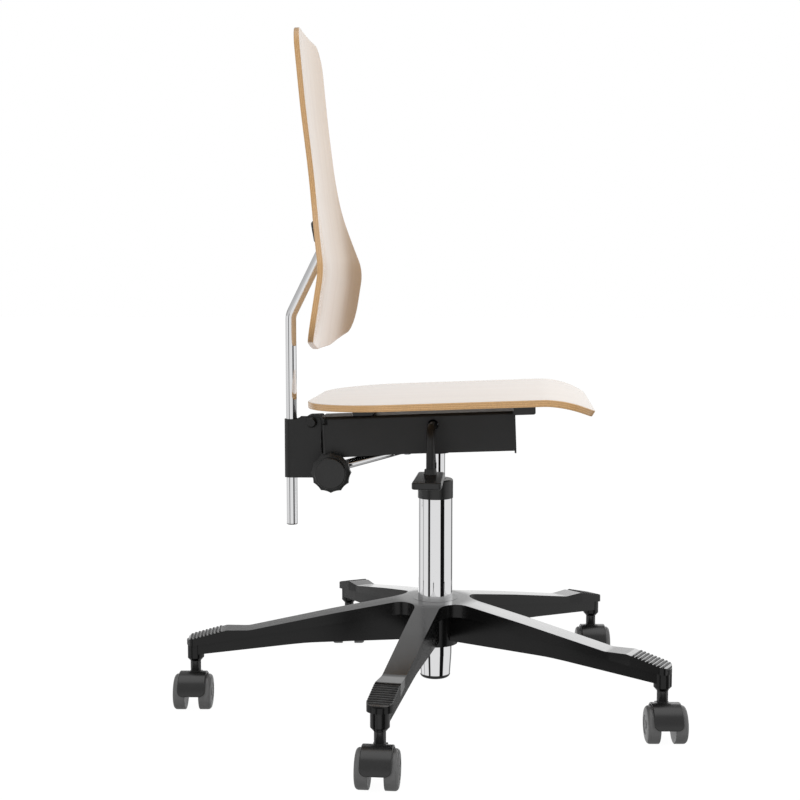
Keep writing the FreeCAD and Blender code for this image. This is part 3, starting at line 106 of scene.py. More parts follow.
def beechVeneer(name, grain, sheen):
    # Rotary-cut beech under clear satin lacquer: tan, with faint streaks and ray flecks along the
    # grain's axis, whitened by the lacquer at a low angle
    made, tree = newMaterial(name)
    place = addNode(tree, "ShaderNodeTexCoord")

    def stretched(size):
        width, length = size
        scale = [1 / (width * mm)] * 3
        scale[grain] = 1 / (length * mm)
        mapping = addNode(tree, "ShaderNodeMapping", {
            "Vector": place.outputs["Object"], "Scale": scale})
        return mapping.outputs[0]

    drift = addNode(tree, "ShaderNodeTexNoise", {
        "Vector": stretched(veneer["growth"]), "Scale": 1.0, "Detail": 3.0, "Roughness": 0.55})
    fibre = addNode(tree, "ShaderNodeTexNoise", {
        "Vector": stretched(veneer["fibre"]), "Scale": 1.0, "Detail": 4.0, "Roughness": 0.6})
    fleck = addNode(tree, "ShaderNodeTexVoronoi", {
        "Vector": stretched(veneer["fleckCell"]), "Scale": 1.0, "Randomness": 1.0})
    tone = addNode(tree, "ShaderNodeMix", {
        "Factor": veneer["fibreShare"], "A": drift.outputs["Fac"], "B": fibre.outputs["Fac"]},
        data_type="FLOAT")
    colour = addNode(tree, "ShaderNodeValToRGB", {"Fac": tone.outputs[0]})
    shades = [hexLinear(veneer[key]) for key in ("dark", "middle", "pale")]
    setRamp(colour, list(zip(veneer["tones"], shades)))
    start, end = veneer["fleckFade"]
    isFleck = addNode(tree, "ShaderNodeMapRange", {
        "Value": fleck.outputs["Distance"], "From Min": start, "From Max": end,
        "To Min": veneer["fleckShare"], "To Max": 0.0})
    flecked = addNode(tree, "ShaderNodeMix", {
        "Factor": isFleck.outputs[0], "A": colour.outputs["Color"],
        "B": hexLinear(veneer["fleck"])}, data_type="RGBA")
    relief = addNode(tree, "ShaderNodeBump", {
        "Height": fibre.outputs["Fac"], "Strength": veneer["relief"],
        "Distance": veneer["reliefDepth"]})
    surface = addNode(tree, "ShaderNodeBsdfPrincipled", {
        "Base Color": flecked.outputs[2], "Roughness": veneer["roughness"], "IOR": veneer["ior"],
        "Coat Weight": 1.0, "Coat Roughness": veneer["coatRoughness"], "Coat IOR": veneer["ior"],
        "Sheen Weight": sheen, "Sheen Roughness": veneer["sheenRoughness"],
        "Normal": relief.outputs[0]})
    closeMaterial(tree, surface)
    return made


plyEdge = {
    "long": "#CBA371", "end": "#BA905D", "glue": "#9A7045",
    "layers": 7, "glueShare": 0.05,          # half a glue line, as a share of two layers
    "speck": 1.111,                          # mm, cut fibres
    "speckRange": (0.3, 0.7), "speckShade": (0.82, 1.12),
    "relief": 0.15, "reliefDepth": 0.15 * mm,
    "ior": 1.5, "roughness": 0.42, "coat": 0.5, "coatRoughness": 0.15,
}


def beechPlyEdge(name):
    # Sanded and lacquered edge of the moulded plywood: long-grain and end-grain layers in turn,
    # with thin dark glue lines
    made, tree = newMaterial(name)
    layer = addNode(tree, "ShaderNodeUVMap", uv_map="plyUv")
    place = addNode(tree, "ShaderNodeTexCoord")
    split = addNode(tree, "ShaderNodeSeparateXYZ", {"Vector": layer.outputs[0]})
    stack = addNode(tree, "ShaderNodeMath", {
        0: split.outputs["Y"], 1: plyEdge["layers"] / 2}, operation="MULTIPLY")
    inPair = addNode(tree, "ShaderNodeMath", {0: stack.outputs[0]}, operation="FRACT")
    bands = addNode(tree, "ShaderNodeValToRGB", {"Fac": inPair.outputs[0]})
    line = plyEdge["glueShare"]
    long, end, glue = (hexLinear(plyEdge[key]) for key in ("long", "end", "glue"))
    setRamp(bands, [(0.0, glue), (line, long), (0.5 - line, long), (0.5, glue),
                    (0.5 + line, end), (1.0 - line, end), (1.0, glue)])
    speck = addNode(tree, "ShaderNodeTexNoise", {
        "Vector": place.outputs["Object"], "Scale": 1 / (plyEdge["speck"] * mm), "Detail": 3.0})
    start, full = plyEdge["speckRange"]
    low, high = plyEdge["speckShade"]
    shade = addNode(tree, "ShaderNodeMapRange", {
        "Value": speck.outputs["Fac"], "From Min": start, "From Max": full,
        "To Min": low, "To Max": high})
    colour = addNode(tree, "ShaderNodeVectorMath", {
        0: bands.outputs["Color"], "Scale": shade.outputs[0]}, operation="SCALE")
    relief = addNode(tree, "ShaderNodeBump", {
        "Height": speck.outputs["Fac"], "Strength": plyEdge["relief"],
        "Distance": plyEdge["reliefDepth"]})
    surface = addNode(tree, "ShaderNodeBsdfPrincipled", {
        "Base Color": colour.outputs[0], "Roughness": plyEdge["roughness"], "IOR": plyEdge["ior"],
        "Coat Weight": plyEdge["coat"], "Coat Roughness": plyEdge["coatRoughness"],
        "Normal": relief.outputs[0]})
    closeMaterial(tree, surface)
    return made


moulding = {
    "mottle": 22.22,                         # mm, clouds left by the melt's flow
    "shade": (0.86, 1.14), "glossSpread": 0.05,
    "reliefDepth": 0.2 * mm, "ior": 1.53,
}


def mouldedPlastic(name, code, roughness, grit, relief):
    # Injection-moulded nylon or ABS: even colour with a faint mottle, and a spark-eroded grain
    # of the given grit in mm
    made, tree = newMaterial(name)
    place = addNode(tree, "ShaderNodeTexCoord")
    grain = addNode(tree, "ShaderNodeTexVoronoi", {
        "Vector": place.outputs["Object"], "Scale": 1 / (grit * mm)}, feature="SMOOTH_F1")
    mottle = addNode(tree, "ShaderNodeTexNoise", {
        "Vector": place.outputs["Object"], "Scale": 1 / (moulding["mottle"] * mm), "Detail": 4.0})
    low, high = moulding["shade"]
    shade = addNode(tree, "ShaderNodeMapRange", {
        "Value": mottle.outputs["Fac"], "To Min": low, "To Max": high})
    colour = addNode(tree, "ShaderNodeVectorMath", {
        0: hexLinear(code)[:3], "Scale": shade.outputs[0]}, operation="SCALE")
    spread = moulding["glossSpread"]
    gloss = addNode(tree, "ShaderNodeMapRange", {
        "Value": mottle.outputs["Fac"], "To Min": roughness - spread, "To Max": roughness + spread})
    bump = addNode(tree, "ShaderNodeBump", {
        "Height": grain.outputs["Distance"], "Strength": relief,
        "Distance": moulding["reliefDepth"]})
    surface = addNode(tree, "ShaderNodeBsdfPrincipled", {
        "Base Color": colour.outputs[0], "Roughness": gloss.outputs[0], "IOR": moulding["ior"],
        "Normal": bump.outputs[0]})
    closeMaterial(tree, surface)
    return made


powder = {
    "peel": 1.4, "cloud": 40.0,              # mm
    "shade": (0.9, 1.1), "gloss": (0.36, 0.48),
    "relief": 0.12, "reliefDepth": 0.15 * mm, "ior": 1.5,
}


def powderCoat(name, code):
    # Polyester powder coat on folded sheet: satin with a fine orange peel
    made, tree = newMaterial(name)
    place = addNode(tree, "ShaderNodeTexCoord")
    peel = addNode(tree, "ShaderNodeTexNoise", {
        "Vector": place.outputs["Object"], "Scale": 1 / (powder["peel"] * mm), "Detail": 2.0})
    cloud = addNode(tree, "ShaderNodeTexNoise", {
        "Vector": place.outputs["Object"], "Scale": 1 / (powder["cloud"] * mm), "Detail": 3.0})
    gloss = addNode(tree, "ShaderNodeMapRange", {
        "Value": cloud.outputs["Fac"], "To Min": powder["gloss"][0], "To Max": powder["gloss"][1]})
    shade = addNode(tree, "ShaderNodeMapRange", {
        "Value": cloud.outputs["Fac"], "To Min": powder["shade"][0], "To Max": powder["shade"][1]})
    colour = addNode(tree, "ShaderNodeVectorMath", {
        0: hexLinear(code)[:3], "Scale": shade.outputs[0]}, operation="SCALE")
    relief = addNode(tree, "ShaderNodeBump", {
        "Height": peel.outputs["Fac"], "Strength": powder["relief"],
        "Distance": powder["reliefDepth"]})
    surface = addNode(tree, "ShaderNodeBsdfPrincipled", {
        "Base Color": colour.outputs[0], "Roughness": gloss.outputs[0], "IOR": powder["ior"],
        "Normal": relief.outputs[0]})
    closeMaterial(tree, surface)
    return made


def platedSteel(name, code, gloss, streak):
    # Plated steel: mirror chrome, or duller zinc, with faint upright polishing streaks of the
    # given width in mm
    made, tree = newMaterial(name)
    place = addNode(tree, "ShaderNodeTexCoord")
    across = 1 / (streak * mm)
    along = across / 10
    stretch = addNode(tree, "ShaderNodeMapping", {
        "Vector": place.outputs["Object"], "Scale": (across, across, along)})
    haze = addNode(tree, "ShaderNodeTexNoise", {
        "Vector": stretch.outputs[0], "Scale": 1.0, "Detail": 4.0})
    rough = addNode(tree, "ShaderNodeMapRange", {
        "Value": haze.outputs["Fac"], "To Min": gloss[0], "To Max": gloss[1]})
    surface = addNode(tree, "ShaderNodeBsdfPrincipled", {
        "Base Color": hexLinear(code), "Metallic": 1.0, "Roughness": rough.outputs[0]})
    closeMaterial(tree, surface)
    return made


starNylon = {
    "grain": 0.9, "flow": 33.33,             # mm
    "shade": (0.8, 1.2), "gloss": (0.16, 0.26),
    "upward": (0.55, 0.8),                   # Z of the normal where the polish starts and is full
    "relief": 0.02, "reliefDepth": 0.2 * mm,
    "ior": 1.53, "specular": 0.3, "coatRoughness": 0.14, "coatIor": 1.5,
}


def starBaseNylon(name, code):
    # Glass-filled nylon with a polished upper side that mirrors light at a low angle, and finely
    # grained dark sides
    made, tree = newMaterial(name)
    place = addNode(tree, "ShaderNodeTexCoord")
    facing = addNode(tree, "ShaderNodeSeparateXYZ", {"Vector": place.outputs["Normal"]})
    start, full = starNylon["upward"]
    upper = addNode(tree, "ShaderNodeMapRange", {
        "Value": facing.outputs["Z"], "From Min": start, "From Max": full})
    grain = addNode(tree, "ShaderNodeTexVoronoi", {
        "Vector": place.outputs["Object"], "Scale": 1 / (starNylon["grain"] * mm)},
        feature="SMOOTH_F1")
    flow = addNode(tree, "ShaderNodeTexNoise", {
        "Vector": place.outputs["Object"], "Scale": 1 / (starNylon["flow"] * mm), "Detail": 5.0})
    low, high = starNylon["shade"]
    shade = addNode(tree, "ShaderNodeMapRange", {
        "Value": flow.outputs["Fac"], "To Min": low, "To Max": high})
    colour = addNode(tree, "ShaderNodeVectorMath", {
        0: hexLinear(code)[:3], "Scale": shade.outputs[0]}, operation="SCALE")
    bright, dull = starNylon["gloss"]
    gloss = addNode(tree, "ShaderNodeMapRange", {
        "Value": flow.outputs["Fac"], "To Min": bright, "To Max": dull})
    relief = addNode(tree, "ShaderNodeBump", {
        "Height": grain.outputs["Distance"], "Strength": starNylon["relief"],
        "Distance": starNylon["reliefDepth"]})
    surface = addNode(tree, "ShaderNodeBsdfPrincipled", {
        "Base Color": colour.outputs[0], "Roughness": gloss.outputs[0], "IOR": starNylon["ior"],
        "Specular IOR Level": starNylon["specular"], "Coat Weight": upper.outputs[0],
        "Coat Roughness": starNylon["coatRoughness"], "Coat IOR": starNylon["coatIor"],
        "Normal": relief.outputs[0]})
    closeMaterial(tree, surface)
    return made


finish = {
    "seatFace": beechVeneer("beech_veneer_seat", grain=0, sheen=0.2),
    "backFace": beechVeneer("beech_veneer_back", grain=2, sheen=0.0),
    "edge": beechPlyEdge("beech_ply_edge"),
    "chrome": platedSteel("bright_chrome", "#F2F2F3", gloss=(0.02, 0.06), streak=4.545),
    "zinc": platedSteel("zinc_plated_steel", "#A9ABB0", gloss=(0.25, 0.4), streak=3.333),
    "baseNylon": starBaseNylon("black_glass_filled_nylon", "#0D0D0D"),
    "grip": mouldedPlastic("grained_black_nylon", "#151515", roughness=0.4, grit=0.9, relief=0.02),
    "trim": mouldedPlastic("satin_black_abs", "#161616", roughness=0.32, grit=0.7, relief=0.05),
    "hood": mouldedPlastic("charcoal_nylon_hood", "#1E1E1E", roughness=0.26, grit=0.7, relief=0.03),
    "wheel": mouldedPlastic("grey_nylon_wheel", "#5A5A5A", roughness=0.38, grit=0.8, relief=0.04),
    "steel": powderCoat("black_powder_coat", "#121212"),
}
print("materials made:", len(finish))


# mesh helpers

def inMetres(spots):
    return [tuple(value * mm for value in spot) for spot in spots]


def roundedPath(corners, closed, arcSteps=24, runSteps=24):
    # Straight runs joined by tangent arcs through (u, v, radius) corners, as one dense polyline
    spots = np.array([corner[:2] for corner in corners], float)
    radii = [corner[2] if len(corner) > 2 else 0.0 for corner in corners]
    count = len(spots)
    stretches = []
    for i in range(count):
        isEnd = not closed and i in (0, count - 1)
        if isEnd or radii[i] == 0.0:
            stretches.append(spots[i][None])
            continue
        back = spots[i - 1] - spots[i]
        ahead = spots[(i + 1) % count] - spots[i]
        back /= np.linalg.norm(back)
        ahead /= np.linalg.norm(ahead)
        half = np.arccos(np.clip(back @ ahead, -1, 1)) / 2
        middle = (back + ahead) / np.linalg.norm(back + ahead)
        centre = spots[i] + middle * radii[i] / np.sin(half)
        first = spots[i] + back * radii[i] / np.tan(half) - centre
        last = spots[i] + ahead * radii[i] / np.tan(half) - centre
        turn = np.linspace(0, 1, arcSteps)[:, None]
        sweep = np.pi - 2 * half
        arc = (np.sin((1 - turn) * sweep) * first + np.sin(turn * sweep) * last) / np.sin(sweep)
        stretches.append(centre + arc)
    if closed:
        stretches.append(stretches[0][:1])
    joined = [stretches[0]]
    for stretch in stretches[1:]:
        run = np.linspace(joined[-1][-1], stretch[0], runSteps + 1)[1:-1]
        joined += [run, stretch]
    return np.concatenate(joined)


def evenly(path, count, closed):
    # The same line at equal steps along its length, and the length at each step
    step = np.linalg.norm(np.diff(path, axis=0), axis=1)
    along = np.concatenate([[0], np.cumsum(step)])
    at = np.linspace(0, along[-1], count + 1)[:-1] if closed else np.linspace(0, along[-1], count)
    return np.stack([np.interp(at, along, path[:, i]) for i in range(path.shape[1])], 1), at


def gridFaces(rows, columns):
    # Quads between neighbouring rows; the last column joins the first
    row = np.arange(rows - 1)[:, None] * columns
    column = np.arange(columns)[None]
    following = (column + 1) % columns
    quads = [row + column, row + following, row + columns + following, row + columns + column]
    return np.stack(quads, -1).reshape(-1, 4)


def outward(points, faces):
    # Turns the faces round if the closed surface they make has a negative volume
    a, b, c, d = (points.reshape(-1, 3)[faces[:, i]] for i in range(4))
    volume = (np.cross(a, b) * c).sum() + (np.cross(a, c) * d).sum()
    return faces if volume > 0 else faces[:, ::-1]


def joinSolids(solids):
    # Several closed surfaces as one list of points and faces
    start = np.cumsum([0] + [len(points.reshape(-1, 3)) for points, faces in solids])
    return (np.concatenate([points.reshape(-1, 3) for points, faces in solids]),
            np.concatenate([faces + start[i] for i, (points, faces) in enumerate(solids)]))


def turned(degrees):
    # Turn about the upright axis, for points in rows
    cos, sin = math.cos(math.radians(degrees)), math.sin(math.radians(degrees))
    return np.array([[cos, sin, 0.0], [-sin, cos, 0.0], [0.0, 0.0, 1.0]])


def lathed(profile, closed, count=140, turns=96):
    # A (radius, height) profile in mm carried round the upright axis; a closed one makes a ring
    # Its line is laid at equal steps, or keeps its corners where count is 0
    line = roundedPath(inMetres(profile), closed, arcSteps=10)
    if count:
        line, _ = evenly(line, count, closed)
    elif closed:
        line = line[:-1]
    angle = np.arange(turns) * 2 * np.pi / turns
    radius, height = line[:, :1], line[:, 1:]
    x, y, z = np.broadcast_arrays(radius * np.cos(angle), radius * np.sin(angle), height)
    points = np.stack([x, y, z], -1)
    rows = np.concatenate([points, points[:1]]) if closed else points
    return rows, outward(rows, gridFaces(len(rows), turns))


def shellRows(thickness, edgeRound, faceRows, arcRows=6, sideRows=8):
    # Section of a board from its middle, over the top, round the edge and back, as each row's
    # share of the way out, inset and depth
    share = np.linspace(0, 1, faceRows) ** 0.8  # closer together towards the rim
    turn = np.linspace(0, np.pi / 2, arcRows)[1:]
    overInset = edgeRound * (1 - np.sin(turn))
    overDepth = edgeRound * (1 - np.cos(turn))
    side = np.linspace(edgeRound, thickness - edgeRound, sideRows)[1:-1]
    flat = np.full(faceRows, edgeRound)
    out = np.concatenate([share, np.ones(2 * len(turn) + len(side)), share[::-1]])
    inset = np.concatenate([flat, overInset, np.zeros(len(side)), overInset[::-1], flat])
    depth = np.concatenate([np.zeros(faceRows), overDepth, side, thickness - overDepth[::-1],
                            np.full(faceRows, thickness)])
    return out, inset, depth


def boardGrid(outline, centre, rows):
    # Plan places of every row: from the centre out to the outline drawn in by the row's inset
    out, inset, _ = rows
    tangent = np.roll(outline, -1, 0) - np.roll(outline, 1, 0)
    tangent /= np.linalg.norm(tangent, axis=1, keepdims=True)
    inward = np.stack([-tangent[:, 1], tangent[:, 0]], 1)
    if ((centre - outline) * inward).sum() < 0:
        inward = -inward
    rim = outline[None] + inset[:, None, None] * inward[None]
    return centre + out[:, None, None] * (rim - centre)


weld = 0.0001 * mm  # points that share a cell of this size become one


def addPiece(name, points, faces, body, materials, faceMaterial=None, uv=None, replaced=()):
    # Points that meet at a pole become one, and the quads round it become triangles
    points = points.reshape(-1, 3)
    cells = np.round(points / weld).astype(np.int64)
    _, first, same = np.unique(cells, axis=0, return_index=True, return_inverse=True)
    faces = same.reshape(-1)[faces]
    corners = faces.tolist()
    for i in np.flatnonzero((faces == np.roll(faces, 1, 1)).any(1)):
        corners[i] = list(dict.fromkeys(corners[i]))
    mesh = bpy.data.meshes.new(name)
    mesh.from_pydata(points[first].tolist(), [], corners)
    for made in materials:
        mesh.materials.append(made)
    if faceMaterial is not None:
        mesh.polygons.foreach_set("material_index", np.asarray(faceMaterial, np.int32))
    mesh.polygons.foreach_set("use_smooth", np.ones(len(mesh.polygons), bool))
    if uv is not None:
        layer = mesh.uv_layers.new(name="plyUv")
        corner = np.zeros(len(mesh.loops), np.int32)
        mesh.loops.foreach_get("vertex_index", corner)
        layer.data.foreach_set("uv", uv.reshape(-1, 2)[first][corner].astype(np.float32).ravel())
    mesh.update()
    piece = bpy.data.objects.new(name, mesh)
    bpy.context.scene.collection.objects.link(piece)
    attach(piece, body)
    if replaced:
        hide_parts(*replaced)
    return piece


def addBoard(name, surface, along, rows, faceRows, body, face, replaced):
    # A closed ply board, its edge band in the ply finish with the layers laid over its depth
    out, _, depth = rows
    count = surface.shape[1]
    faces = outward(surface, gridFaces(len(out), count))
    row = np.arange(len(out) - 1).repeat(count)
    onEdge = (row >= faceRows - 1) & (row < len(out) - faceRows)
    uv = np.stack(np.broadcast_arrays(along[None], depth[:, None] / depth.max()), -1)
    addPiece(name, surface, faces, body, [face, finish["edge"]], onEdge, uv, [replaced])


# seat

seat = {
    "thickness": 9 * mm, "edgeRound": 1.2 * mm,
    "under": 20 * mm,                        # from the channel's top to the seat's underside
    "rear": -172 * mm, "front": 221 * mm, "halfWidth": 195 * mm,
    "rearRadius": 120 * mm, "frontRadius": 50 * mm,
    "lipStart": 150 * mm, "lipRadius": 132 * mm,
    "tilt": 2.3,                             # degrees, front up
    "middle": (20 * mm, 0.0), "columns": 480, "faceRows": 46,
}


def makeSeat():
    # A rounded plan laid level, its front lip bent down on one radius, the whole then tilted;
    # in the lip a deeper layer lies square below the top, on a smaller radius
    half = seat["halfWidth"]
    rear, rearRadius = seat["rear"], seat["rearRadius"]
    front, frontRadius = seat["front"], seat["frontRadius"]
    corners = [(rear, -half, rearRadius), (front, -half, frontRadius),
               (front, half, frontRadius), (rear, half, rearRadius)]
    outline, run = evenly(roundedPath(corners, True), seat["columns"], True)
    rows = shellRows(seat["thickness"], seat["edgeRound"], seat["faceRows"])
    plan = boardGrid(outline, np.array(seat["middle"]), rows)
    radius = seat["lipRadius"] - rows[2][:, None]
    bend = np.arcsin(np.maximum(plan[..., 0] - seat["lipStart"], 0) / seat["lipRadius"])
    bendCentre = seat["under"] + seat["thickness"] - seat["lipRadius"]
    along = np.where(bend > 0, seat["lipStart"] + radius * np.sin(bend), plan[..., 0])
    level = bendCentre + radius * np.cos(bend)
    lean = math.radians(seat["tilt"])
    x = along * math.cos(lean) - level * math.sin(lean)
    z = along * math.sin(lean) + level * math.cos(lean) + channelTop
    surface = np.stack([x, plan[..., 1], z], -1)
    addBoard("seat_board", surface, run, rows, seat["faceRows"], "seat_frame", finish["seatFace"],
             "seat_shell")


makeSeat()
print("seat made")


# back

back = {
    "thickness": 7.5 * mm, "edgeRound": 1.2 * mm,
    "line": [(-162.8, 92.6), (-145.2, 203.0, 120.0), (-158.5, 299.0, 500.0),
             (-173.4, 420.0, 1500.0), (-184.3, 534.0)],  # mm: x, rise above the channel, bend
    "half": [(63.0, 92.6, 175.0), (219.0, 111.7, 45.0), (219.0, 205.0, 55.0),
             (110.0, 307.0, 130.0), (108.0, 534.0, 40.0)],  # mm: y, rise, corner
    "curve": 1600 * mm,                      # radius seen from above
    "middle": (0.0, 215 * mm), "columns": 560, "faceRows": 64,
    "spare": 20 * mm,                        # the side line runs on past both ends, for the rear face
    "lineSteps": 900, "bendSteps": 120,
}


def pushedOut(end, neighbour, way):
    # The end of a line moved on, away from its neighbour
    run = np.subtract(end[:2], neighbour[:2])
    return tuple(end[:2] + way * run / np.linalg.norm(run))


def makeBack():
    # The outline lies in the upright plane, and the side line gives each height and depth its x;
    # the section is then turned about an upright axis in front of the chair
    half = inMetres(back["half"])
    corners = half + [(-y, z, r) for y, z, r in half[::-1]]
    outline, along = evenly(roundedPath(corners, True), back["columns"], True)
    rows = shellRows(back["thickness"], back["edgeRound"], back["faceRows"])
    plan = boardGrid(outline, np.array(back["middle"]), rows)
    line = inMetres(back["line"])
    axisX = line[1][0] + back["curve"]
    line[0] = pushedOut(line[0], line[1], back["spare"])
    line[-1] = pushedOut(line[-1], line[-2], back["spare"])
    front, _ = evenly(roundedPath(line, False, back["bendSteps"]), back["lineSteps"], False)
    tangent = np.gradient(front, axis=0)
    tangent /= np.linalg.norm(tangent, axis=1, keepdims=True)
    rearward = np.stack([-tangent[:, 1], tangent[:, 0]], 1)
    x = np.empty(plan.shape[:2])
    for i, depth in enumerate(rows[2]):
        layer = front + rearward * depth
        x[i] = np.interp(plan[i, :, 1], layer[:, 1], layer[:, 0])
    x = axisX - np.sqrt((axisX - x) ** 2 - plan[..., 0] ** 2)
    surface = np.stack([x, plan[..., 0], plan[..., 1] + channelTop], -1)
    addBoard("back_board", surface, along, rows, back["faceRows"], "back", finish["backFace"],
             "back_shell")


makeBack()
print("back made")


# casters

caster = {
    "circle": 348 * mm, "firstAngle": 190.4,
    "headings": (-85.0, -91.0, -85.0, -86.0, -85.0),  # degrees, one for each leg
    "trail": 24 * mm, "wheelRadius": 25 * mm,
    "hoodRadius": 29.2 * mm, "hoodWall": 3 * mm, "hoodHalf": 19.5 * mm, "hoodRound": 1.4 * mm,
    "hoodTurn": 192.0,                       # degrees, from the front lip over the top to the rear
    "frontCorner": 8.5 * mm, "rearCorner": 4 * mm, "hoodColumns": 260, "hoodRows": 22,
    "web": [(-10.0, 25.0, 5.0), (-1.0, 17.0, 5.0), (30.0, 17.0, 4.0), (30.0, 47.2, 3.0),
            (-10.0, 47.2, 3.0)],             # mm: x, z, corner
    "webWidth": 18.4 * mm, "webRound": 0.9 * mm, "webMiddle": (10 * mm, 32 * mm),
    "webColumns": 160, "webRows": 10,
    "neck": [(5.8, 45.2), (8.5, 45.2), (8.5, 48.4), (7.5, 49.4, 0.8), (7.5, 64.4, 0.6),
             (5.8, 64.4)],                   # mm: radius, z, corner
    "wheel": [(0.0, 9.8), (24.99, 9.8, 1.0), (24.99, 26.1, 4.6), (13.0, 27.2, 1.0),
              (12.4, 26.3, 0.6), (6.0, 26.3, 0.6), (5.5, 27.2, 0.8),
              (0.0, 27.2)],                  # mm: radius, y, corner
}


def legAngle(i):
    # Degrees round the column
    return caster["firstAngle"] + 360 / len(caster["headings"]) * i


def hoodShell():
    # A flat rounded sheet bent over the wheels: length along it becomes the angle round the axle
    length = math.radians(caster["hoodTurn"]) * caster["hoodRadius"]
    half = caster["hoodHalf"]
    corners = [(0.0, -half, caster["frontCorner"]), (length, -half, caster["rearCorner"]),
               (length, half, caster["rearCorner"]), (0.0, half, caster["frontCorner"])]
    outline, _ = evenly(roundedPath(corners, True), caster["hoodColumns"], True)
    rows = shellRows(caster["hoodWall"], caster["hoodRound"], caster["hoodRows"])
    plan = boardGrid(outline, np.array([length / 2, 0.0]), rows)
    radius = caster["hoodRadius"] - rows[2][:, None]
    angle = plan[..., 0] / caster["hoodRadius"]
    x = caster["trail"] + radius * np.cos(angle)
    z = caster["wheelRadius"] + radius * np.sin(angle)
    points = np.stack([x, plan[..., 1], z], -1)
    return points, outward(points, gridFaces(len(rows[0]), caster["hoodColumns"]))


def hoodWeb():
    # Thick upright plate between the wheels, its outline in x and z, its depth across
    outline, _ = evenly(roundedPath(inMetres(caster["web"]), True), caster["webColumns"], True)
    rows = shellRows(caster["webWidth"], caster["webRound"], caster["webRows"])
    plan = boardGrid(outline, np.array(caster["webMiddle"]), rows)
    across = caster["webWidth"] / 2 - rows[2][:, None] + np.zeros(plan.shape[:2])
    points = np.stack([plan[..., 0], across, plan[..., 1]], -1)
    return points, outward(points, gridFaces(len(rows[0]), caster["webColumns"]))


def makeCasters():
    # One caster made about its stem, then turned to its heading and moved to the end of its leg
    hood, hoodFaces = joinSolids([hoodShell(), hoodWeb(), lathed(caster["neck"], True, count=80)])
    wheel, wheelFaces = lathed(caster["wheel"], False)
    # the lathe's axis is laid across the caster and moved to the axle
    left = wheel[..., [0, 2, 1]] + np.array([caster["trail"], 0.0, caster["wheelRadius"]])
    right = left * np.array([1.0, -1.0, 1.0])
    for i, heading in enumerate(caster["headings"]):
        number = i + 1
        spin = turned(heading)
        spot = np.array([caster["circle"], 0.0, 0.0]) @ turned(legAngle(i))
        addPiece("hood_%d" % number, hood @ spin + spot, hoodFaces, "caster_%d" % number,
                 [finish["hood"]], replaced=["caster_hood_%d" % number])
        for side, points in (("left", left), ("right", right)):
            name = "wheel_%s_%d" % (side, number)
            addPiece(name + "_disc", points @ spin + spot, outward(points, wheelFaces), name,
                     [finish["wheel"]], replaced=[name])


makeCasters()
print("casters made")


# feet of the star base

foot = {
    "padStart": 303.5 * mm, "padTip": 357.5 * mm, "padHalf": 16.8 * mm, "padCorner": 9 * mm,
    "padCrest": 110.5 * mm, "padFall": 0.25,  # height at the pad's start, and its fall outwards
    "padMargin": 0.6 * mm,
    "ridges": 9, "firstRidge": 6 * mm, "pitch": 46 / 9 * mm,
    "barWidth": 2.7 * mm, "barHeight": 1.7 * mm, "barSunk": 0.8 * mm, "barRound": 0.7 * mm,
    "barCorner": 0.7, "barColumns": 48,      # the corner is a share of half the bar's width
    "tube": [(0.0, 67.4), (10.4, 67.4, 1.0), (10.4, 94.0), (0.0, 94.0)],  # mm: radius, z, corner
}


def ridgeBar(number):
    # Flat bar with rounded edges across the pad: its length follows the pad's rounded tip, its
    # plane the pad's fall
    at = foot["padStart"] + foot["firstRidge"] + (number + 0.5) * foot["pitch"]
    wide = foot["barWidth"] / 2
    past = max(at + wide - foot["padTip"] + foot["padCorner"], 0.0)
    rounding = foot["padCorner"] - math.sqrt(foot["padCorner"] ** 2 - past ** 2)
    half = foot["padHalf"] - rounding - foot["padMargin"]
    corner = wide * foot["barCorner"]
    corners = [(-wide, -half, corner), (wide, -half, corner),
               (wide, half, corner), (-wide, half, corner)]
    path = roundedPath(corners, True, arcSteps=6, runSteps=6)
    outline, _ = evenly(path, foot["barColumns"], True)
    thickness = foot["barHeight"] + foot["barSunk"]
    rows = shellRows(thickness, foot["barRound"], faceRows=3, arcRows=4, sideRows=3)
    plan = boardGrid(outline, np.zeros(2), rows)
    height = foot["barHeight"] - rows[2][:, None]
    lean = math.atan(foot["padFall"])
    level = foot["padCrest"] - foot["padFall"] * (at - foot["padStart"])
    x = at + plan[..., 0] * math.cos(lean) + height * math.sin(lean)
    z = level - plan[..., 0] * math.sin(lean) + height * math.cos(lean)
    points = np.stack([x, plan[..., 1], z], -1)
    return points, outward(points, gridFaces(len(rows[0]), foot["barColumns"]))


def makeFeet():
    # Ridges, and the stem tube in the socket's recess, made on a leg along X and turned to each leg
    bars, barFaces = joinSolids([ridgeBar(number) for number in range(foot["ridges"])])
    tube, tubeFaces = lathed(foot["tube"], False, count=40)
    tube = tube + np.array([caster["circle"], 0.0, 0.0])
    grip = [finish["grip"]]
    for i in range(len(caster["headings"])):
        spin = turned(legAngle(i))
        addPiece("pad_ridges_%d" % (i + 1), bars @ spin, barFaces, "base", grip)
        addPiece("socket_tube_%d" % (i + 1), tube @ spin, tubeFaces, "base", grip)


makeFeet()
print("feet made")


# gas column and strut

column = {
    "tube": [(6.0, 31.0), (21.8, 31.0, 4.6), (24.26, 66.0, 20.0), (24.4, 82.0), (25.0, 150.0),
             (25.0, 296.0), (23.0, 296.0), (23.0, 150.0), (17.8, 43.0), (17.8, 35.0),
             (6.0, 35.0)],                   # mm: radius, z, corner
    "sharp": 30.0,                           # faces below it are black plastic: a painted dark reflection of the chrome's rounded lower edge
    "paintedDarkEndTop": 36.4 * mm,                     # faces below it are the black cap
}


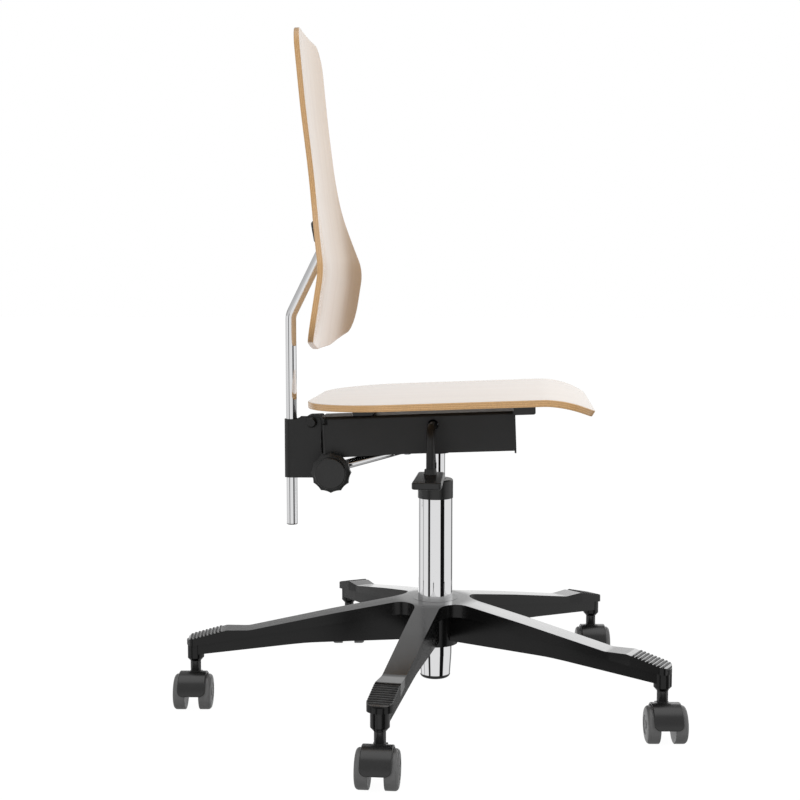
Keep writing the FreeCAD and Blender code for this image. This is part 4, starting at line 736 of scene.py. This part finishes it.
def makeColumn():
    # A tube lathed from its wall's section, its lower end spun in, with black plastic on the faces of
    # that rounded end as a painted dark reflection of the chrome edge
    points, faces = lathed(column["tube"], True, count=0)
    level = points.reshape(-1, 3)[faces, 2].mean(1)
    tube = addPiece("column_tube", points, faces, "base",
                    [finish["chrome"], finish["trim"]], level < column["paintedDarkEndTop"],
                    replaced=["column_housing"])
    tube.data.set_sharp_from_angle(angle=math.radians(column["sharp"]))


strut = {
    "clamp": (-146.7 * mm, 336.5 * mm),      # x and z of the clamp bolt, where the rods start
    "slope": 15.8, "halfGap": 22 * mm,       # degrees; from the middle to each rod
    "sleeve": [(0.0, 10.5), (5.0, 10.5, 0.8), (5.0, 93.0, 0.8),
               (0.0, 93.0)],                 # mm: radius, way from the bolt, corner
    "lift": 1.6 * mm,                        # the sleeve's axis above the rod's
}


def makeStrut():
    # A sleeve lathed upright and laid along each rod, short of the yoke so that the thin rods
    # slide in it
    points, faces = lathed(strut["sleeve"], False, count=90)
    lean = math.radians(strut["slope"])
    up = np.array([-math.sin(lean), 0.0, math.cos(lean)])
    along = np.array([math.cos(lean), 0.0, math.sin(lean)])
    axes = np.array([up, [0.0, 1.0, 0.0], along])
    laid = (points + np.array([strut["lift"], 0.0, 0.0])) @ axes
    x, z = strut["clamp"]
    pair = [laid + np.array([x, y, z]) for y in (-strut["halfGap"], strut["halfGap"])]
    points, faces = joinSolids([(sleeve, outward(sleeve, faces)) for sleeve in pair])
    addPiece("strut_sleeves", points, faces, "strut", [finish["chrome"]])


makeColumn()
makeStrut()
print("column and strut made")


# finishes of the CAD nodes that stay

nodeFinish = {
    "chrome": ["back_tube", "strut_rods", "gas_cylinder", "piston_rod"],
    "zinc": ["caster_stems", "thrust_bearing", "rod_clip", "valve_pin", "seat_screws",
             "clip_screws", "lever_pin", "pivot_nut", "clamp_nut", "clamp_bolt", "strut_yoke"],
    "baseNylon": ["star_base"],
    "trim": ["column_bush", "clamp_knob", "lever_paddle", "tube_plug", "rail_plugs",
             "sleeve_liner", "back_clip"],
    "steel": ["mechanism_channel", "front_plate", "seat_rail_front", "seat_rail_rear",
              "taper_socket", "hinge_tongue", "strut_clevis", "release_lever", "lever_bracket",
              "back_bracket", "pivot_bolt", "clamp_spacers"],
}
nodeFinish["zinc"] += ["caster_axle_%d" % (i + 1) for i in range(len(caster["headings"]))]
for key, names in nodeFinish.items():
    for name in names:
        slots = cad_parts[name].data.materials
        slots.clear()
        slots.append(finish[key])
print("CAD finishes set")


# studio

studio = {
    "camera": (0.1171, -1.9294, 0.609), "yaw": 5.0, "down": 5.06,
    "lens": 60.44, "sensor": 36.0, "farClip": 60.0,
    "skyLow": 0.72, "skyHigh": 0.45,         # light from the horizon and from overhead
    "ground": 0.4, "wall": 0.8, "ceiling": 0.55, "overhead": 1.6,  # brightness seen by gloss
    "upperWall": [(-20, 0.6), (40, 1.0), (88, 1.0), (92, 0.68), (96, 0.68), (99, 0.36)],
    "softbox": [(-20, 0.5), (40, 2.4), (86, 2.4), (92, 0.5)],  # azimuth, brightness
    "flags": [(105.0, 27.0, 1.0), (-174.0, 2.0, 0.38), (-128.5, 6.0, 0.012), (-38.0, 13.0, 0.006),
              (60.0, 13.0, 0.16), (143.0, 6.0, 0.25)],  # azimuth, half width, brightness
    "flagSoft": 2.5,                         # degrees
    "bands": {"wall": (-0.62, -0.5), "upperWall": (0.09, 0.14), "softbox": (0.27, 0.34),
              "ceiling": (0.48, 0.58), "overhead": (0.86, 0.94)},  # Z over which each fades in
    "floorReach": 20.0, "floorShare": 0.86, "floorWhite": 1.13, "paper": 0.6,
    "lampSize": 2.2, "lampAim": (0.0, 0.0, 0.45),
    "lamps": [("key", (-1.2, -2.6, 1.4), 38.0), ("fill", (2.4, -1.2, 1.3), 24.0)],  # place, watts
}


def flaggedWall():
    # Bright wall all round, broken by upright flags that draw the stripes on the chrome
    wall, soft = studio["wall"], studio["flagSoft"]
    stops = []
    for azimuth, half, level in studio["flags"]:
        stops += [(azimuth - half - soft, wall), (azimuth - half, level),
                  (azimuth + half, level), (azimuth + half + soft, wall)]
    return stops


def ringStops(levels):
    # Ramp stops once round, from azimuths of -180 to 180 degrees
    stops = [(azimuth / 360 + 0.5, grey(level)) for azimuth, level in levels]
    return [(0.0, stops[0][1])] + stops + [(1.0, stops[-1][1])]


def glossBands(tree, way):
    # Rings of brightness from the ground up, each fading into the next between two heights of the
    # direction's Z
    turn = addNode(tree, "ShaderNodeMath", {
        0: way.outputs["Y"], 1: way.outputs["X"]}, operation="ARCTAN2")
    share = addNode(tree, "ShaderNodeMapRange", {
        "Value": turn.outputs[0], "From Min": -math.pi, "From Max": math.pi})
    around = grey(studio["ground"])
    for name, (start, end) in studio["bands"].items():
        level = flaggedWall() if name == "wall" else studio[name]
        if isinstance(level, list):
            ring = addNode(tree, "ShaderNodeValToRGB", {"Fac": share.outputs[0]})
            setRamp(ring, ringStops(level))
            band = ring.outputs["Color"]
        else:
            band = grey(level)
        rise = addNode(tree, "ShaderNodeMapRange", {
            "Value": way.outputs["Z"], "From Min": start, "From Max": end})
        # sockets 6 and 7 are the two colours
        mixed = addNode(tree, "ShaderNodeMix", {
            "Factor": rise.outputs[0], 6: around, 7: band}, data_type="RGBA")
        around = mixed.outputs["Result"]
    return around


def seenPlainly(tree, path):
    # Rays from the camera, also through something clear
    both = addNode(tree, "ShaderNodeMath", {
        0: path.outputs["Is Camera Ray"], 1: path.outputs["Is Transmission Ray"]},
        operation="ADD", use_clamp=True)
    return both.outputs[0]


def makeWorld(scene):
    # White to the camera; the bands to gloss; to all else a light that weakens from the horizon up
    world = bpy.data.worlds.new("white_studio")
    world.use_nodes = True
    tree = world.node_tree
    tree.nodes.clear()
    path = addNode(tree, "ShaderNodeLightPath")
    place = addNode(tree, "ShaderNodeTexCoord")
    way = addNode(tree, "ShaderNodeSeparateXYZ", {"Vector": place.outputs["Generated"]})
    height = addNode(tree, "ShaderNodeMapRange", {
        "Value": way.outputs["Z"], "To Min": studio["skyLow"], "To Max": studio["skyHigh"]})
    light = addNode(tree, "ShaderNodeBackground", {
        "Color": grey(1.0), "Strength": height.outputs[0]})
    gloss = addNode(tree, "ShaderNodeBackground", {
        "Color": glossBands(tree, way), "Strength": 1.0})
    white = addNode(tree, "ShaderNodeBackground", {"Color": grey(1.0), "Strength": 1.0})
    lit = addNode(tree, "ShaderNodeMixShader", {
        0: path.outputs["Is Glossy Ray"], 1: light.outputs[0], 2: gloss.outputs[0]})
    both = addNode(tree, "ShaderNodeMixShader", {
        0: seenPlainly(tree, path), 1: lit.outputs[0], 2: white.outputs[0]})
    addNode(tree, "ShaderNodeOutputWorld", {"Surface": both.outputs[0]})
    scene.world = world


def makeFloor(scene):
    # White paper sweep: plain white to the camera with the soft shadow left in it; gloss looks
    # past it to the walls
    made, tree = newMaterial("white_paper_sweep")
    path = addNode(tree, "ShaderNodeLightPath")
    share = addNode(tree, "ShaderNodeMath", {
        0: seenPlainly(tree, path), 1: studio["floorShare"]}, operation="MULTIPLY")
    paper = addNode(tree, "ShaderNodeBsdfDiffuse", {"Color": grey(studio["paper"])})
    glow = addNode(tree, "ShaderNodeEmission", {
        "Color": grey(1.0), "Strength": studio["floorWhite"]})
    clear = addNode(tree, "ShaderNodeBsdfTransparent")
    matt = addNode(tree, "ShaderNodeMixShader", {
        0: share.outputs[0], 1: paper.outputs[0], 2: glow.outputs[0]})
    both = addNode(tree, "ShaderNodeMixShader", {
        0: path.outputs["Is Glossy Ray"], 1: matt.outputs[0], 2: clear.outputs[0]})
    addNode(tree, "ShaderNodeOutputMaterial", {"Surface": both.outputs[0]})
    reach = studio["floorReach"]
    mesh = bpy.data.meshes.new("floor")
    corners = [(-reach, -reach, 0), (reach, -reach, 0), (reach, reach, 0), (-reach, reach, 0)]
    mesh.from_pydata(corners, [], [(0, 1, 2, 3)])
    mesh.materials.append(made)
    floor = bpy.data.objects.new("floor", mesh)
    scene.collection.objects.link(floor)


def makeCamera(scene):
    lens = bpy.data.cameras.new("camera")
    lens.lens = studio["lens"]
    lens.sensor_width = studio["sensor"]
    lens.clip_end = studio["farClip"]
    camera = bpy.data.objects.new("camera", lens)
    camera.location = studio["camera"]
    camera.rotation_euler = (math.radians(90 - studio["down"]), 0.0, math.radians(studio["yaw"]))
    scene.collection.objects.link(camera)
    scene.camera = camera


def makeLamps(scene):
    for name, spot, power in studio["lamps"]:
        lamp = bpy.data.lights.new(name, "AREA")
        lamp.size = studio["lampSize"]
        lamp.energy = power
        holder = bpy.data.objects.new(name, lamp)
        holder.location = spot
        holder.visible_glossy = False        # gloss sees the walls, not the lamps
        x, y, z = np.subtract(studio["lampAim"], spot)
        tip = math.acos(-z / math.hypot(x, y, z))
        holder.rotation_euler = (tip, 0.0, math.atan2(y, x) - math.pi / 2)
        scene.collection.objects.link(holder)


scene = bpy.context.scene
scene.view_settings.view_transform = "Standard"
makeCamera(scene)
makeWorld(scene)
makeFloor(scene)
makeLamps(scene)
print("studio set")
